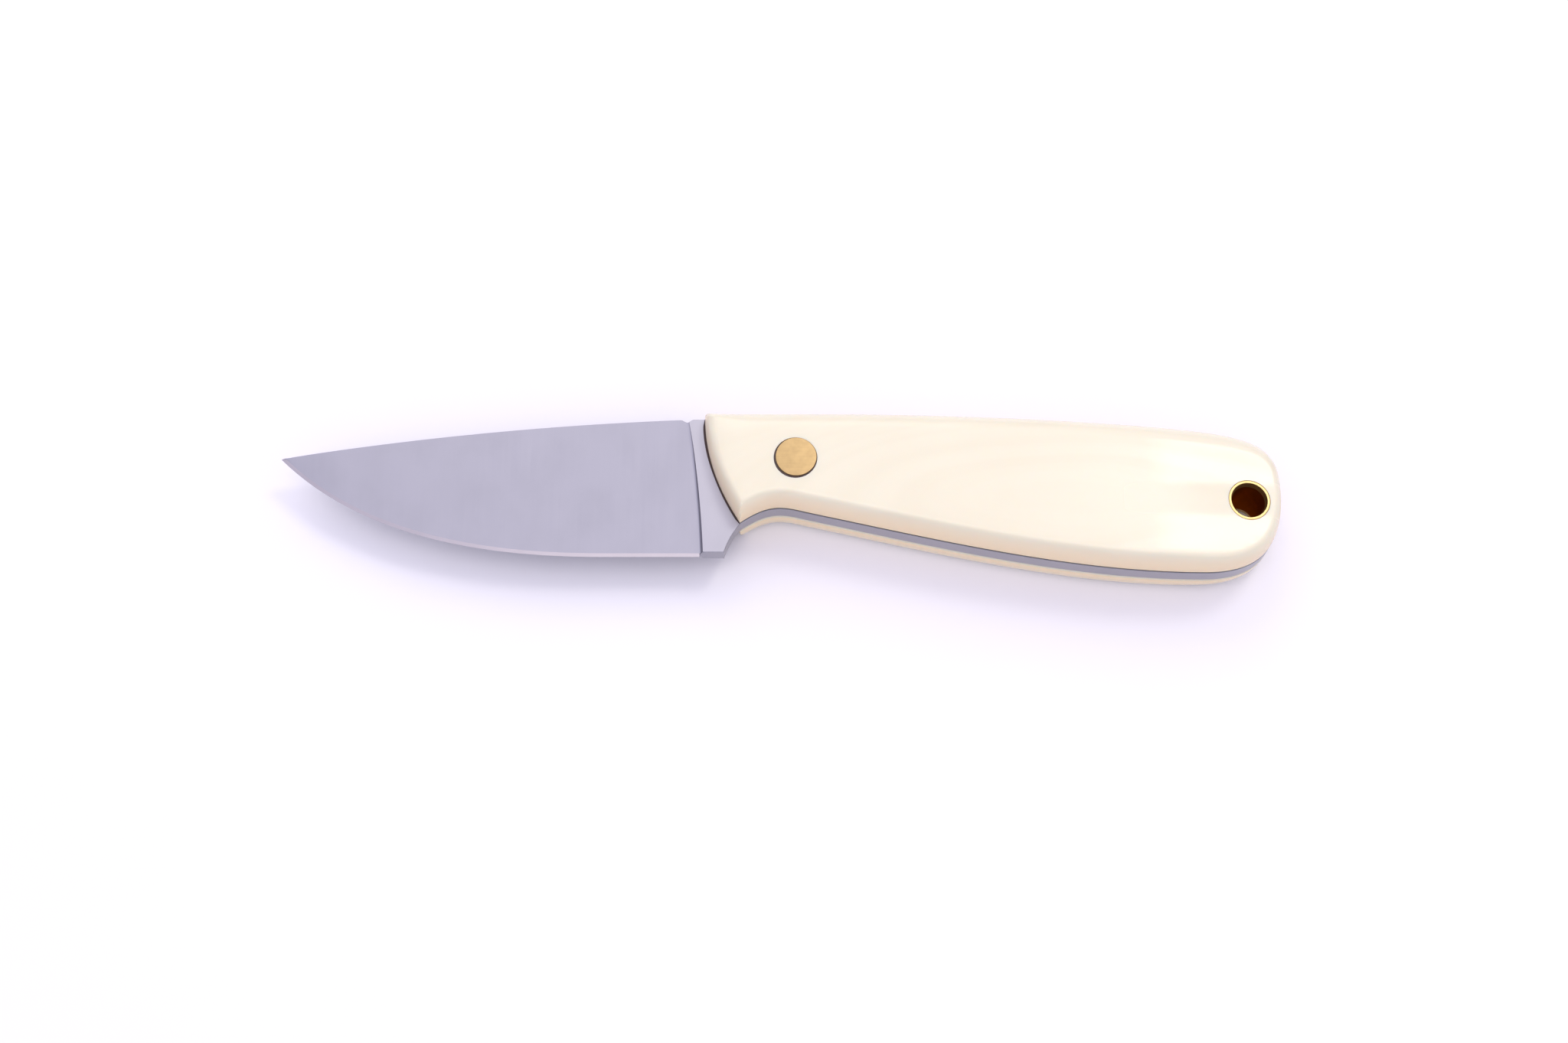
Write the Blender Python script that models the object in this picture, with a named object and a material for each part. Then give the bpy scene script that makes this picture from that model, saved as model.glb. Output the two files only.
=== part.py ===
"""Small full-tang craft knife with bone scales, lying on its back scale.

Bench frame used while modelling, in metres:
  X = 0 at the front of the scales, running towards the butt
  Y = 0 on the straight part of the cutting edge, running towards the spine
  Z = 0 on the mid-plane of the steel
Every piece hangs on one empty, which carries the bench frame to the part's own frame:
the middle of the whole box at X = Y = 0, and the underside at Z = 0.
"""

import math

import bmesh
import bpy
from mathutils import Vector
from mathutils.geometry import interpolate_bezier

MM = 0.001

# Blade
BLADE_LENGTH = 70.5 * MM        # tip to the front of the scales
BLADE_WIDTH = 23.85 * MM        # edge to spine, at the plunge
STEEL_THICKNESS = 3.0 * MM      # ricasso and tang
TIP_HEIGHT = 17.2 * MM          # tip above the edge line
TIP_DROP_DEG = 44.0             # how steeply the edge leaves the tip
SPINE_BULGE = 1.03 * MM         # spine above the straight line from tip to plunge
STRAIGHT_EDGE = 16.0 * MM       # straight edge, ending at the plunge
BEVEL_WIDTH = 0.55 * MM         # secondary bevel, across the edge
SHOULDER_THICKNESS = 0.5 * MM   # steel left behind the secondary bevel
SPINE_RELIEF = 0.08 * MM        # what the grind takes off each face at the spine
PLUNGE_HEAD = 3.3 * MM          # plunge line ahead of the scales, at the spine
PLUNGE_FOOT = 0.70 * MM         # plunge line ahead of the scales, at the edge
PLUNGE_BOW = 0.35 * MM          # bow of the plunge line towards the handle
PLUNGE_RISE = 0.6 * MM          # length of the curved step up to the ricasso
NOTCH_DEPTH = 0.50 * MM         # grinding nick where the plunge leaves the spine
NOTCH_WIDTH = 2.2 * MM

# Handle outline, shared by the tang, the seam films and both scales
HANDLE_LENGTH = 94.5 * MM       # front of the scales to the butt
RICASSO_LIFT = 0.3 * MM         # flat under the ricasso, above the edge line
CHOIL_START = 3.3 * MM          # end of that flat
CHOIL_START_DEG = 72.0          # the choil leaves the flat steeply
CHOIL_END_DEG = 52.0            # and meets the scales' corner less steeply
CORNER_SET = 5.9 * MM           # lower front corner of the scales, behind their front
CORNER_HEIGHT = 5.2 * MM
CORNER_RISE_DEG = 34.0          # finger groove rising from that corner
GROOVE_SET = 12.4 * MM          # crest of the finger groove
GROOVE_HEIGHT = 7.8 * MM
GROOVE_FALL = 4.9 * MM          # from the crest to the straight slope of the belly
GROOVE_FALL_SHARE = 0.8         # mean slope of that fall, as a share of the belly's
BELLY_SLOPE_DEG = 12.6
SWELL_DROP = 3.4 * MM           # palm swell below the edge line
SWELL_SETBACK = 13.0 * MM       # palm swell ahead of the butt
BUTT_HEIGHT = 10.6 * MM         # rearmost point of the butt above the edge line
BUTT_LOW_FULLNESS = 0.69        # 0.55 is a round corner, 1 a square one
BUTT_HIGH_FULLNESS = 0.76
SHOULDER_SETBACK = 16.5 * MM    # where the back starts to turn down to the butt
SHOULDER_DIP = 2.7 * MM         # back below the spine there
SHOULDER_SLOPE_DEG = 5.5
BACK_FLAT = 30.0 * MM           # nearly straight part of the back
BACK_DIP = 0.10 * MM            # back below the spine at its end
BACK_SLOPE_DEG = 1.0            # slope of the back there
FRONT_BOW = 5.2 * MM            # fullness of the scales' curved front
FRONT_LEAN_DEG = 122.0          # direction of that front at its lower corner
FRONT_TOP_REACH = 0.42          # how long it stays upright at the top, as a share of its drop
CORE_END_SHARE = 0.6            # end of the handle's core line, between the butt and the swell

# Scales
SEAM = 0.4 * MM                 # space between the steel and a scale
FILM_THICKNESS = 0.2 * MM       # cured epoxy film in that space
SCALE_THICKNESS = 5.4 * MM
SCALE_WALL = 0.7 * MM           # upright edge before the rounding starts
ROUND_WIDTH = 1.7 * MM          # how far in from the edge the rounding reaches
BACK_ROUND_WIDTH = 3.6 * MM     # and how far along the handle's back
BACK_ROUND_START = 13.0 * MM    # height at which the wider rounding starts to take over
BACK_ROUND_SPAN = 6.0 * MM
FRONT_TAPER = 7.5 * MM          # length over which the front thins
FRONT_THINNING = 0.9 * MM
BUTT_TAPER = 22.0 * MM          # length over which the butt thins
BUTT_THINNING = 1.3 * MM

# Two-part bolt
BOLT_SET = 15.1 * MM            # behind the front of the scales
BOLT_HEIGHT = 14.8 * MM         # above the edge line
BOLT_HEAD = 6.7 * MM            # diameter
BOLT_HEAD_DEPTH = 2.2 * MM
BARREL_DIAMETER = 4.8 * MM
BARREL_PAST_TANG = 1.6 * MM     # reach of the sleeve into the back scale
SCREW_DIAMETER = 2.8 * MM       # over the thread
THREAD_PITCH = 0.7 * MM
THREAD_DEPTH = 0.2 * MM
BOLT_CAP = 1.4 * MM             # solid brass left above the sleeve's bore

# Lanyard tube
TUBE_OUTER = 6.8 * MM
TUBE_WALL = 0.45 * MM
TUBE_BUTT_MARGIN = 2.5 * MM     # bone between the tube and the butt
TUBE_HEIGHT = 7.6 * MM          # above the edge line

# Fits
CLEARANCE = 0.3 * MM            # gap kept between neighbouring pieces
FLUSH_RECESS = 0.05 * MM        # brass ends stop this far below the bone

# Fineness of the curves
CURVE_REACH = 0.35              # usual length of a curve's handles, as a share of its span
MERGE_DISTANCE = 0.001 * MM
SHARP_ANGLE_DEG = 30.0
HALVINGS = 24                   # of the search for an inset point
EDGE_STEPS = 20                 # curved and straight stretches of the cutting edge
STRAIGHT_STEPS = 6
GROOVE_RISE_STEPS = 6
GROOVE_FALL_STEPS = 3
BELLY_STEPS = 12
BUTT_STEPS = 12
BACK_STEPS = 7
BACK_FLAT_STEPS = 4
FRONT_STEPS = 9
CHOIL_STEPS = 5
GRIND_ROWS = 8
PLUNGE_COLUMNS = 4
ROUND_RINGS = 6
FRONT_CUTS = 5
BUTT_CUTS = 8
TURNING_STEPS = 32
THREAD_STEPS = 24

# Worked out from the sizes above
HALF_STEEL = STEEL_THICKNESS / 2
SEAT = HALF_STEEL + SEAM
TUBE_CENTRE = Vector((HANDLE_LENGTH - TUBE_BUTT_MARGIN - TUBE_OUTER / 2, TUBE_HEIGHT))
BOLT_CENTRE = Vector((BOLT_SET, BOLT_HEIGHT))

COLOURS = {
    # name: (base colour, metallic, roughness)
    "ground_steel": ((0.50, 0.49, 0.54), 1.0, 0.38),
    "polished_bone": ((0.93, 0.85, 0.70), 0.0, 0.32),
    "turned_brass": ((0.80, 0.60, 0.28), 1.0, 0.30),
    "dark_epoxy": ((0.06, 0.035, 0.02), 0.0, 0.45),
}


# ---------------------------------------------------------------- outlines

def heading(degrees, length):
    """A step of a given length in a given direction of the XY plane."""
    angle = math.radians(degrees)
    return Vector((math.cos(angle), math.sin(angle))) * length


def curve(start, start_handle, end_handle, end, steps):
    """Points along one Bezier curve, without its last point."""
    flat = [p.to_3d() for p in (start, start_handle, end_handle, end)]
    return [p.to_2d() for p in interpolate_bezier(*flat, steps + 1)][:-1]


def corner_point():
    return Vector((CORNER_SET, CORNER_HEIGHT))


def top_front_point():
    return Vector((0.0, BLADE_WIDTH))


def groove_line():
    """Finger groove, from the scales' lower corner over its crest to the belly."""
    corner = corner_point()
    crest = Vector((GROOVE_SET, GROOVE_HEIGHT))
    slope_start = crest + heading(-BELLY_SLOPE_DEG * GROOVE_FALL_SHARE, GROOVE_FALL)
    reach = (crest - corner).length * CURVE_REACH
    rise = curve(corner, corner + heading(CORNER_RISE_DEG, reach),
                 crest - heading(0, reach), crest, GROOVE_RISE_STEPS)
    reach = GROOVE_FALL * CURVE_REACH
    fall = curve(crest, crest + heading(0, reach),
                 slope_start - heading(-BELLY_SLOPE_DEG, reach), slope_start, GROOVE_FALL_STEPS)
    return rise + fall, slope_start


def handle_line():
    """From the lower front corner round the belly, butt and back to the top front."""
    groove, slope_start = groove_line()
    swell = Vector((HANDLE_LENGTH - SWELL_SETBACK, -SWELL_DROP))
    butt = Vector((HANDLE_LENGTH, BUTT_HEIGHT))
    shoulder = Vector((HANDLE_LENGTH - SHOULDER_SETBACK, BLADE_WIDTH - SHOULDER_DIP))
    flat_end = Vector((BACK_FLAT, BLADE_WIDTH - BACK_DIP))
    run = (swell.x - slope_start.x) / 3
    belly = curve(slope_start, slope_start + heading(-BELLY_SLOPE_DEG, run),
                  swell - heading(0, run), swell, BELLY_STEPS)
    low = curve(swell, swell + heading(0, SWELL_SETBACK * BUTT_LOW_FULLNESS),
                butt - heading(90, (BUTT_HEIGHT + SWELL_DROP) * BUTT_LOW_FULLNESS),
                butt, BUTT_STEPS)
    rise = shoulder.y - BUTT_HEIGHT
    high = curve(butt, butt + heading(90, rise * BUTT_HIGH_FULLNESS),
                 shoulder + heading(-SHOULDER_SLOPE_DEG, SHOULDER_SETBACK * BUTT_HIGH_FULLNESS),
                 shoulder, BUTT_STEPS)
    span = (shoulder.x - flat_end.x) / 3
    back = curve(shoulder, shoulder + heading(180 - SHOULDER_SLOPE_DEG, span),
                 flat_end + heading(-BACK_SLOPE_DEG, span), flat_end, BACK_STEPS)
    front = curve(flat_end, flat_end + heading(180 - BACK_SLOPE_DEG, BACK_FLAT / 3),
                  top_front_point() + heading(0, BACK_FLAT / 3), top_front_point(),
                  BACK_FLAT_STEPS)
    return groove + belly + low + high + back + front + [top_front_point()]


def scale_front():
    """Curved front of the scales, from the top corner down, without its ends."""
    top = top_front_point()
    low = corner_point()
    drop = top.y - low.y
    points = curve(top, top + heading(-90, drop * FRONT_TOP_REACH),
                   low + heading(FRONT_LEAN_DEG, FRONT_BOW), low, FRONT_STEPS)
    return points[1:]


def scale_outline():
    return handle_line() + scale_front()


def choil_line():
    """Steel from the flat under the ricasso up to the scales' lower corner."""
    start = Vector((CHOIL_START, RICASSO_LIFT))
    end = corner_point()
    reach = (end - start).length * CURVE_REACH
    return curve(start, start + heading(CHOIL_START_DEG, reach),
                 end - heading(CHOIL_END_DEG, reach), end, CHOIL_STEPS)


def spine_height(x):
    """Spine: an arch from the tip to the plunge, level from there, with a small nick."""
    share = min(1.0, (x + BLADE_LENGTH) / (BLADE_LENGTH - PLUNGE_HEAD))
    straight = TIP_HEIGHT + (BLADE_WIDTH - TIP_HEIGHT) * share
    nick = max(0.0, 1 - abs(x + PLUNGE_HEAD - PLUNGE_RISE / 2) / (NOTCH_WIDTH / 2))
    return straight + SPINE_BULGE * 4 * share * (1 - share) - NOTCH_DEPTH * nick


def edge_line():
    """Cutting edge from the tip to the plunge, as stations along the curve."""
    tip = Vector((-BLADE_LENGTH, TIP_HEIGHT))
    straight = Vector((-PLUNGE_FOOT - STRAIGHT_EDGE, 0.0))
    reach = (straight - tip).length * CURVE_REACH
    belly = curve(tip, tip + heading(-TIP_DROP_DEG, reach),
                  straight - heading(0, reach), straight, EDGE_STEPS)
    last = Vector((-PLUNGE_FOOT, 0.0))
    steps = [i / STRAIGHT_STEPS for i in range(STRAIGHT_STEPS + 1)]
    return belly + [straight.lerp(last, step) for step in steps]


def shoulder_line(edge):
    """Inner border of the secondary bevel: the edge line moved in by its width.

    It starts on the spine, just behind the tip.
    """
    moved = []
    for i, point in enumerate(edge):
        along = edge[min(i + 1, len(edge) - 1)] - edge[max(i - 1, 0)]
        moved.append(point + Vector((-along.y, along.x)).normalized() * BEVEL_WIDTH)
    first = next(i for i, p in enumerate(moved) if i > 0 and p.y < spine_height(p.x))
    x = (edge[0].x + moved[first].x) / 2
    moved[0] = Vector((x, spine_height(x)))
    for i in range(1, first):
        moved[i] = moved[0].lerp(moved[first], i / first)
    return moved


# ---------------------------------------------------------------- shaping

def smooth_step(share):
    share = min(1.0, max(0.0, share))
    return share * share * (3 - 2 * share)


def scale_height(x):
    """Thickness of a scale at x: full in the middle, thinner at the front and butt."""
    front = 1 - smooth_step(x / FRONT_TAPER)
    butt = smooth_step((x - HANDLE_LENGTH + BUTT_TAPER) / BUTT_TAPER)
    return SCALE_THICKNESS - FRONT_THINNING * front - BUTT_THINNING * butt


def distance_inside(point, outline):
    """Shortest distance from a point to a closed outline."""
    nearest = math.inf
    for a, b in zip(outline, outline[1:] + outline[:1]):
        side = b - a
        share = min(1.0, max(0.0, (point - a).dot(side) / side.length_squared))
        nearest = min(nearest, (point - a - side * share).length)
    return nearest


def round_width(point):
    """Width of the rounding at a point: tight all round, but wide along the back."""
    wide = smooth_step((point.y - BACK_ROUND_START) / BACK_ROUND_SPAN)
    wide *= smooth_step(point.x / FRONT_TAPER)
    return ROUND_WIDTH + (BACK_ROUND_WIDTH - ROUND_WIDTH) * wide


def inset_outline(outline, share):
    """Outline moved in by a share of the rounding, sliding towards the handle's core line."""
    core_start = Vector((GROOVE_SET, (GROOVE_HEIGHT + BLADE_WIDTH) / 2))
    core_end = Vector((HANDLE_LENGTH - SWELL_SETBACK * CORE_END_SHARE, BUTT_HEIGHT))
    core = core_end - core_start
    inset = []
    for point in outline:
        along = min(1.0, max(0.0, (point - core_start).dot(core) / core.length_squared))
        target = core_start + core * along
        distance = round_width(point) * share
        low, high = 0.0, 1.0
        for _ in range(HALVINGS):
            middle = (low + high) / 2
            if distance_inside(point.lerp(target, middle), outline) < distance:
                low = middle
            else:
                high = middle
        inset.append(point.lerp(target, high))
    return inset


def add_ring(bm, points, z):
    return [bm.verts.new((p.x, p.y, z)) for p in points]


def bridge(bm, lower, upper):
    """Quads between two closed rings of equal length."""
    count = len(lower)
    for i in range(count):
        j = (i + 1) % count
        bm.faces.new((lower[i], lower[j], upper[j], upper[i]))


def finish_piece(bm, name, colour, frame):
    """Turn a bmesh into a named object on the frame, shaded smooth with sharp corners."""
    bmesh.ops.recalc_face_normals(bm, faces=bm.faces)
    mesh = bpy.data.meshes.new(name)
    bm.to_mesh(mesh)
    bm.free()
    mesh.shade_smooth()
    mesh.set_sharp_from_angle(angle=math.radians(SHARP_ANGLE_DEG))
    mesh.materials.append(material(colour))
    piece = bpy.data.objects.new(name, mesh)
    bpy.context.collection.objects.link(piece)
    piece.parent = frame
    return piece


def drill(piece, cutters):
    """Bore a piece with hidden cutters."""
    for cutter in cutters:
        cut = piece.modifiers.new(cutter.name, "BOOLEAN")
        cut.operation = "DIFFERENCE"
        cut.solver = "EXACT"
        cut.object = cutter


def material(name):
    existing = bpy.data.materials.get(name)
    if existing:
        return existing
    base, metallic, roughness = COLOURS[name]
    made = bpy.data.materials.new(name)
    made.use_nodes = True
    shader = made.node_tree.nodes["Principled BSDF"]
    shader.inputs["Base Color"].default_value = (*base, 1.0)
    shader.inputs["Metallic"].default_value = metallic
    shader.inputs["Roughness"].default_value = roughness
    return made


def turned(profile, centre, steps=TURNING_STEPS):
    """Solid turned about the Z line through a centre, from (radius, z) points.

    A profile that starts and ends at radius 0 is a solid; one that stays off the axis
    is closed on itself and makes a tube.
    """
    bm = bmesh.new()
    rings = []
    for radius, z in profile:
        if radius == 0:
            rings.append([bm.verts.new((centre.x, centre.y, z))])
            continue
        ring = []
        for i in range(steps):
            spot = centre + heading(360 * i / steps, radius)
            ring.append(bm.verts.new((spot.x, spot.y, z)))
        rings.append(ring)
    pairs = list(zip(rings, rings[1:]))
    if len(rings[0]) > 1:
        pairs.append((rings[-1], rings[0]))
    for lower, upper in pairs:
        for i in range(steps):
            j = (i + 1) % steps
            around = [lower[i % len(lower)], lower[j % len(lower)],
                      upper[j % len(upper)], upper[i % len(upper)]]
            bm.faces.new(list(dict.fromkeys(around)))
    return bm


# ---------------------------------------------------------------- pieces

def plunge_x(share):
    """Plunge line at a share of the height from the edge (0) to the spine (1)."""
    lean = PLUNGE_FOOT + (PLUNGE_HEAD - PLUNGE_FOOT) * share
    return -lean + PLUNGE_BOW * 4 * share * (1 - share)


def grind_half_thickness(x, share, tip_x):
    """Half the thickness of the ground blade, from shoulder (0) to spine (1)."""
    along = min(1.0, (x - tip_x) / (-PLUNGE_HEAD - tip_x))
    gain = (HALF_STEEL - SPINE_RELIEF - SHOULDER_THICKNESS / 2) * math.sqrt(along)
    return SHOULDER_THICKNESS / 2 + gain * share


def grind_columns(bm, edge, shoulder):
    """Columns of vertices over one ground face, tip first: (edge foot, rows, spine foot)."""
    tip_x = shoulder[0].x
    columns = []
    for foot, start in zip(edge, shoulder):
        along = (start.x - tip_x) / (-PLUNGE_FOOT - tip_x)
        rows = []
        for row in range(GRIND_ROWS + 1):
            share = row / GRIND_ROWS
            x = tip_x + (plunge_x(share) - tip_x) * along
            base = height_at(shoulder, x)
            y = base + (spine_height(x) - base) * share
            rows.append(bm.verts.new((x, y, grind_half_thickness(x, share, tip_x))))
        columns.append((bm.verts.new((foot.x, foot.y, 0)), rows,
                        bm.verts.new((rows[-1].co.x, rows[-1].co.y, 0))))
    return columns


def height_at(line, x):
    """Height of a left-to-right line of points at x."""
    for a, b in zip(line, line[1:]):
        if x <= b.x:
            return a.y + (b.y - a.y) * (x - a.x) / (b.x - a.x)
    return line[-1].y


def plunge_columns(bm, tip_x):
    """Columns over the curved step from the ground face up to the ricasso."""
    columns = []
    for column in range(1, PLUNGE_COLUMNS + 1):
        turn = column / PLUNGE_COLUMNS
        lift = 1 - math.cos(turn * math.pi / 2)
        rows = []
        for row in range(GRIND_ROWS + 1):
            share = row / GRIND_ROWS
            x = plunge_x(share) + PLUNGE_RISE * turn
            foot = BEVEL_WIDTH + (RICASSO_LIFT - BEVEL_WIDTH) * turn
            y = foot + (spine_height(x) - foot) * share
            low = grind_half_thickness(x, share, tip_x)
            rows.append(bm.verts.new((x, y, low + (HALF_STEEL - low) * lift)))
        columns.append((bm.verts.new((rows[0].co.x, RICASSO_LIFT * turn, 0)), rows,
                        bm.verts.new((rows[-1].co.x, rows[-1].co.y, 0))))
    return columns


def join_columns(bm, columns):
    for (foot, rows, head), (next_foot, next_rows, next_head) in zip(columns, columns[1:]):
        bm.faces.new((foot, next_foot, next_rows[0], rows[0]))
        for row in range(GRIND_ROWS):
            bm.faces.new((rows[row], next_rows[row], next_rows[row + 1], rows[row + 1]))
        bm.faces.new((rows[-1], next_rows[-1], next_head, head))


def make_blade(frame, cutters):
    """Blade, ricasso and full tang: one face and half of each side, mirrored in Z."""
    bm = bmesh.new()
    edge = edge_line()
    shoulder = shoulder_line(edge)
    columns = grind_columns(bm, edge, shoulder) + plunge_columns(bm, shoulder[0].x)
    join_columns(bm, columns)
    tip_foot, tip_rows, tip_head = columns[0]
    bm.faces.new((tip_foot, tip_rows[0], tip_head))
    foot, rows, head = columns[-1]
    spine = [Vector((x, spine_height(x))) for x in ricasso_spine_stations(head.co.x)]
    border = choil_line() + handle_line()[:-1] + [top_front_point()] + spine
    face = add_ring(bm, border, HALF_STEEL)
    side = add_ring(bm, border, 0.0)
    top = [rows[0]] + face + rows[:0:-1]
    bm.faces.new(top)
    rim = [rows[0]] + face + [rows[-1]]
    base = [foot] + side + [head]
    for i in range(len(rim) - 1):
        bm.faces.new((rim[i], rim[i + 1], base[i + 1], base[i]))
    bmesh.ops.remove_doubles(bm, verts=bm.verts, dist=MERGE_DISTANCE)
    piece = finish_piece(bm, "blade", "ground_steel", frame)
    mirror = piece.modifiers.new("other_face", "MIRROR")
    mirror.use_axis = (False, False, True)
    mirror.merge_threshold = MERGE_DISTANCE
    drill(piece, cutters)


def ricasso_spine_stations(start):
    """Stations on the spine from the scales forward to the plunge, over the nick."""
    nick_end = -PLUNGE_HEAD + PLUNGE_RISE / 2 + NOTCH_WIDTH / 2
    return [nick_end / 2, nick_end, (nick_end + start) / 2]


def make_scale(name, side, frame, cutters):
    """One scale: upright edge, rounding, flat crown, thinned towards both ends."""
    outline = scale_outline()
    bm = bmesh.new()
    rings = [add_ring(bm, outline, SEAT), add_ring(bm, outline, SEAT + SCALE_WALL)]
    for step in range(1, ROUND_RINGS + 1):
        turn = step / ROUND_RINGS * math.pi / 2
        inset = inset_outline(outline, 1 - math.cos(turn))
        lift = (SCALE_THICKNESS - SCALE_WALL) * math.sin(turn)
        rings.append(add_ring(bm, inset, SEAT + SCALE_WALL + lift))
    for lower, upper in zip(rings, rings[1:]):
        bridge(bm, lower, upper)
    bm.faces.new(rings[0][::-1])
    bm.faces.new(rings[-1])
    for x in taper_stations():
        bmesh.ops.bisect_plane(bm, geom=bm.verts[:] + bm.edges[:] + bm.faces[:],
                               dist=MERGE_DISTANCE, plane_co=(x, 0, 0), plane_no=(1, 0, 0))
    for vert in bm.verts:
        above = (vert.co.z - SEAT) * scale_height(vert.co.x) / SCALE_THICKNESS
        vert.co.z = side * (SEAT + above)
    drill(finish_piece(bm, name, "polished_bone", frame), cutters)


def taper_stations():
    """Cross lines that let the crown follow the thinning at both ends."""
    front = [FRONT_TAPER * (i + 0.5) / FRONT_CUTS for i in range(FRONT_CUTS)]
    start = HANDLE_LENGTH - BUTT_TAPER
    butt = [start + BUTT_TAPER * i / BUTT_CUTS for i in range(BUTT_CUTS)]
    return front + butt


def make_film(name, side, frame, cutters):
    """Cured epoxy film between the tang and a scale."""
    low = HALF_STEEL + (SEAM - FILM_THICKNESS) / 2
    bm = bmesh.new()
    lower = add_ring(bm, scale_outline(), side * low)
    upper = add_ring(bm, scale_outline(), side * (low + FILM_THICKNESS))
    bridge(bm, lower, upper)
    bm.faces.new(lower[::-1])
    bm.faces.new(upper)
    drill(finish_piece(bm, name, "dark_epoxy", frame), cutters)


def crown_height():
    """Crown of a scale at the bolt, above the mid-plane."""
    return SEAT + scale_height(BOLT_SET)


def make_bolt_sleeve(frame):
    """Female half of the bolt: head in the front scale, hollow barrel through the tang."""
    top = crown_height() - FLUSH_RECESS
    under = crown_height() - BOLT_HEAD_DEPTH
    end = -SEAT - BARREL_PAST_TANG
    bore = SCREW_DIAMETER / 2 + CLEARANCE
    profile = [(0, top), (BOLT_HEAD / 2, top), (BOLT_HEAD / 2, under),
               (BARREL_DIAMETER / 2, under), (BARREL_DIAMETER / 2, end),
               (bore, end), (bore, top - BOLT_CAP), (0, top - BOLT_CAP)]
    finish_piece(turned(profile, BOLT_CENTRE), "bolt_sleeve", "turned_brass", frame)


def make_bolt_screw(frame):
    """Male half of the bolt: head in the back scale, threaded shank in the sleeve."""
    top = -crown_height() + FLUSH_RECESS
    under = -crown_height() + BOLT_HEAD_DEPTH
    thread_end = crown_height() - FLUSH_RECESS - BOLT_CAP - CLEARANCE
    crest = SCREW_DIAMETER / 2
    root = crest - THREAD_DEPTH
    thread_start = -SEAT
    profile = [(0, top), (BOLT_HEAD / 2, top), (BOLT_HEAD / 2, under), (root, under)]
    turns = int((thread_end - thread_start) / THREAD_PITCH)
    for turn in range(turns):
        base = thread_start + turn * THREAD_PITCH
        profile += [(root, base), (crest, base + THREAD_PITCH / 2)]
    profile += [(root, thread_end), (0, thread_end)]
    bm = turned(profile, BOLT_CENTRE, THREAD_STEPS)
    finish_piece(bm, "bolt_screw", "turned_brass", frame)


def make_lanyard_tube(frame):
    """Brass tube through the butt, both ends ground flush with the sloping bone.

    The tube is turned between Z = 1 and Z = -1, then each end is moved to the bone.
    """
    outer = TUBE_OUTER / 2
    inner = outer - TUBE_WALL
    bm = turned([(outer, 1.0), (outer, -1.0), (inner, -1.0), (inner, 1.0)], TUBE_CENTRE)
    for vert in bm.verts:
        end = SEAT + scale_height(vert.co.x) - FLUSH_RECESS
        vert.co.z = math.copysign(end, vert.co.z)
    finish_piece(bm, "lanyard_tube", "turned_brass", frame)


def make_cutter(name, centre, radius, low, high, frame):
    """Hidden drill that bores a round hole from low to high."""
    bm = turned([(0, low), (radius, low), (radius, high), (0, high)], centre)
    cutter = finish_piece(bm, name, "ground_steel", frame)
    cutter.hide_render = True
    cutter.display_type = "WIRE"
    return cutter


def make_frame():
    """Empty that carries the bench frame to the part's own frame."""
    line = handle_line()
    highest = max([p.y for p in line] + [spine_height(0)])
    frame = bpy.data.objects.new("knife_frame", None)
    frame.location = ((BLADE_LENGTH - HANDLE_LENGTH) / 2,
                      -(highest + min(p.y for p in line)) / 2,
                      crown_height())
    bpy.context.collection.objects.link(frame)
    return frame


def main():
    for old in list(bpy.data.objects):
        bpy.data.objects.remove(old)
    frame = make_frame()
    reach = SEAT + SCALE_THICKNESS + CLEARANCE
    floor = crown_height() - BOLT_HEAD_DEPTH - CLEARANCE
    barrel = make_cutter("barrel_drill", BOLT_CENTRE, BARREL_DIAMETER / 2 + CLEARANCE,
                         -reach, reach, frame)
    front_head = make_cutter("front_head_drill", BOLT_CENTRE, BOLT_HEAD / 2 + CLEARANCE,
                             floor, reach, frame)
    back_head = make_cutter("back_head_drill", BOLT_CENTRE, BOLT_HEAD / 2 + CLEARANCE,
                            -reach, -floor, frame)
    tube = make_cutter("tube_drill", TUBE_CENTRE, TUBE_OUTER / 2 + CLEARANCE,
                       -reach, reach, frame)
    make_blade(frame, [barrel, tube])
    make_film("front_bond_film", 1, frame, [barrel, tube])
    make_film("back_bond_film", -1, frame, [barrel, tube])
    make_scale("front_scale", 1, frame, [barrel, front_head, tube])
    make_scale("back_scale", -1, frame, [barrel, back_head, tube])
    make_bolt_sleeve(frame)
    make_bolt_screw(frame)
    make_lanyard_tube(frame)


main()
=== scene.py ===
"""Finished craft knife: ground steel blade, polished bone scales, brass bolt and lanyard tube.

The pieces are modelled in the bench frame, in metres, and set down at ORIGIN:
  X = 0 at the front of the scales, running towards the butt
  Y = 0 on the straight part of the cutting edge, running towards the spine
  Z = 0 on the mid-plane of the steel
"""

import math

import bmesh
import bpy
import numpy as np
from bpy.props import FloatProperty, FloatVectorProperty, PointerProperty
from mathutils import Matrix, Vector
from mathutils.geometry import interpolate_bezier


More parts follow.
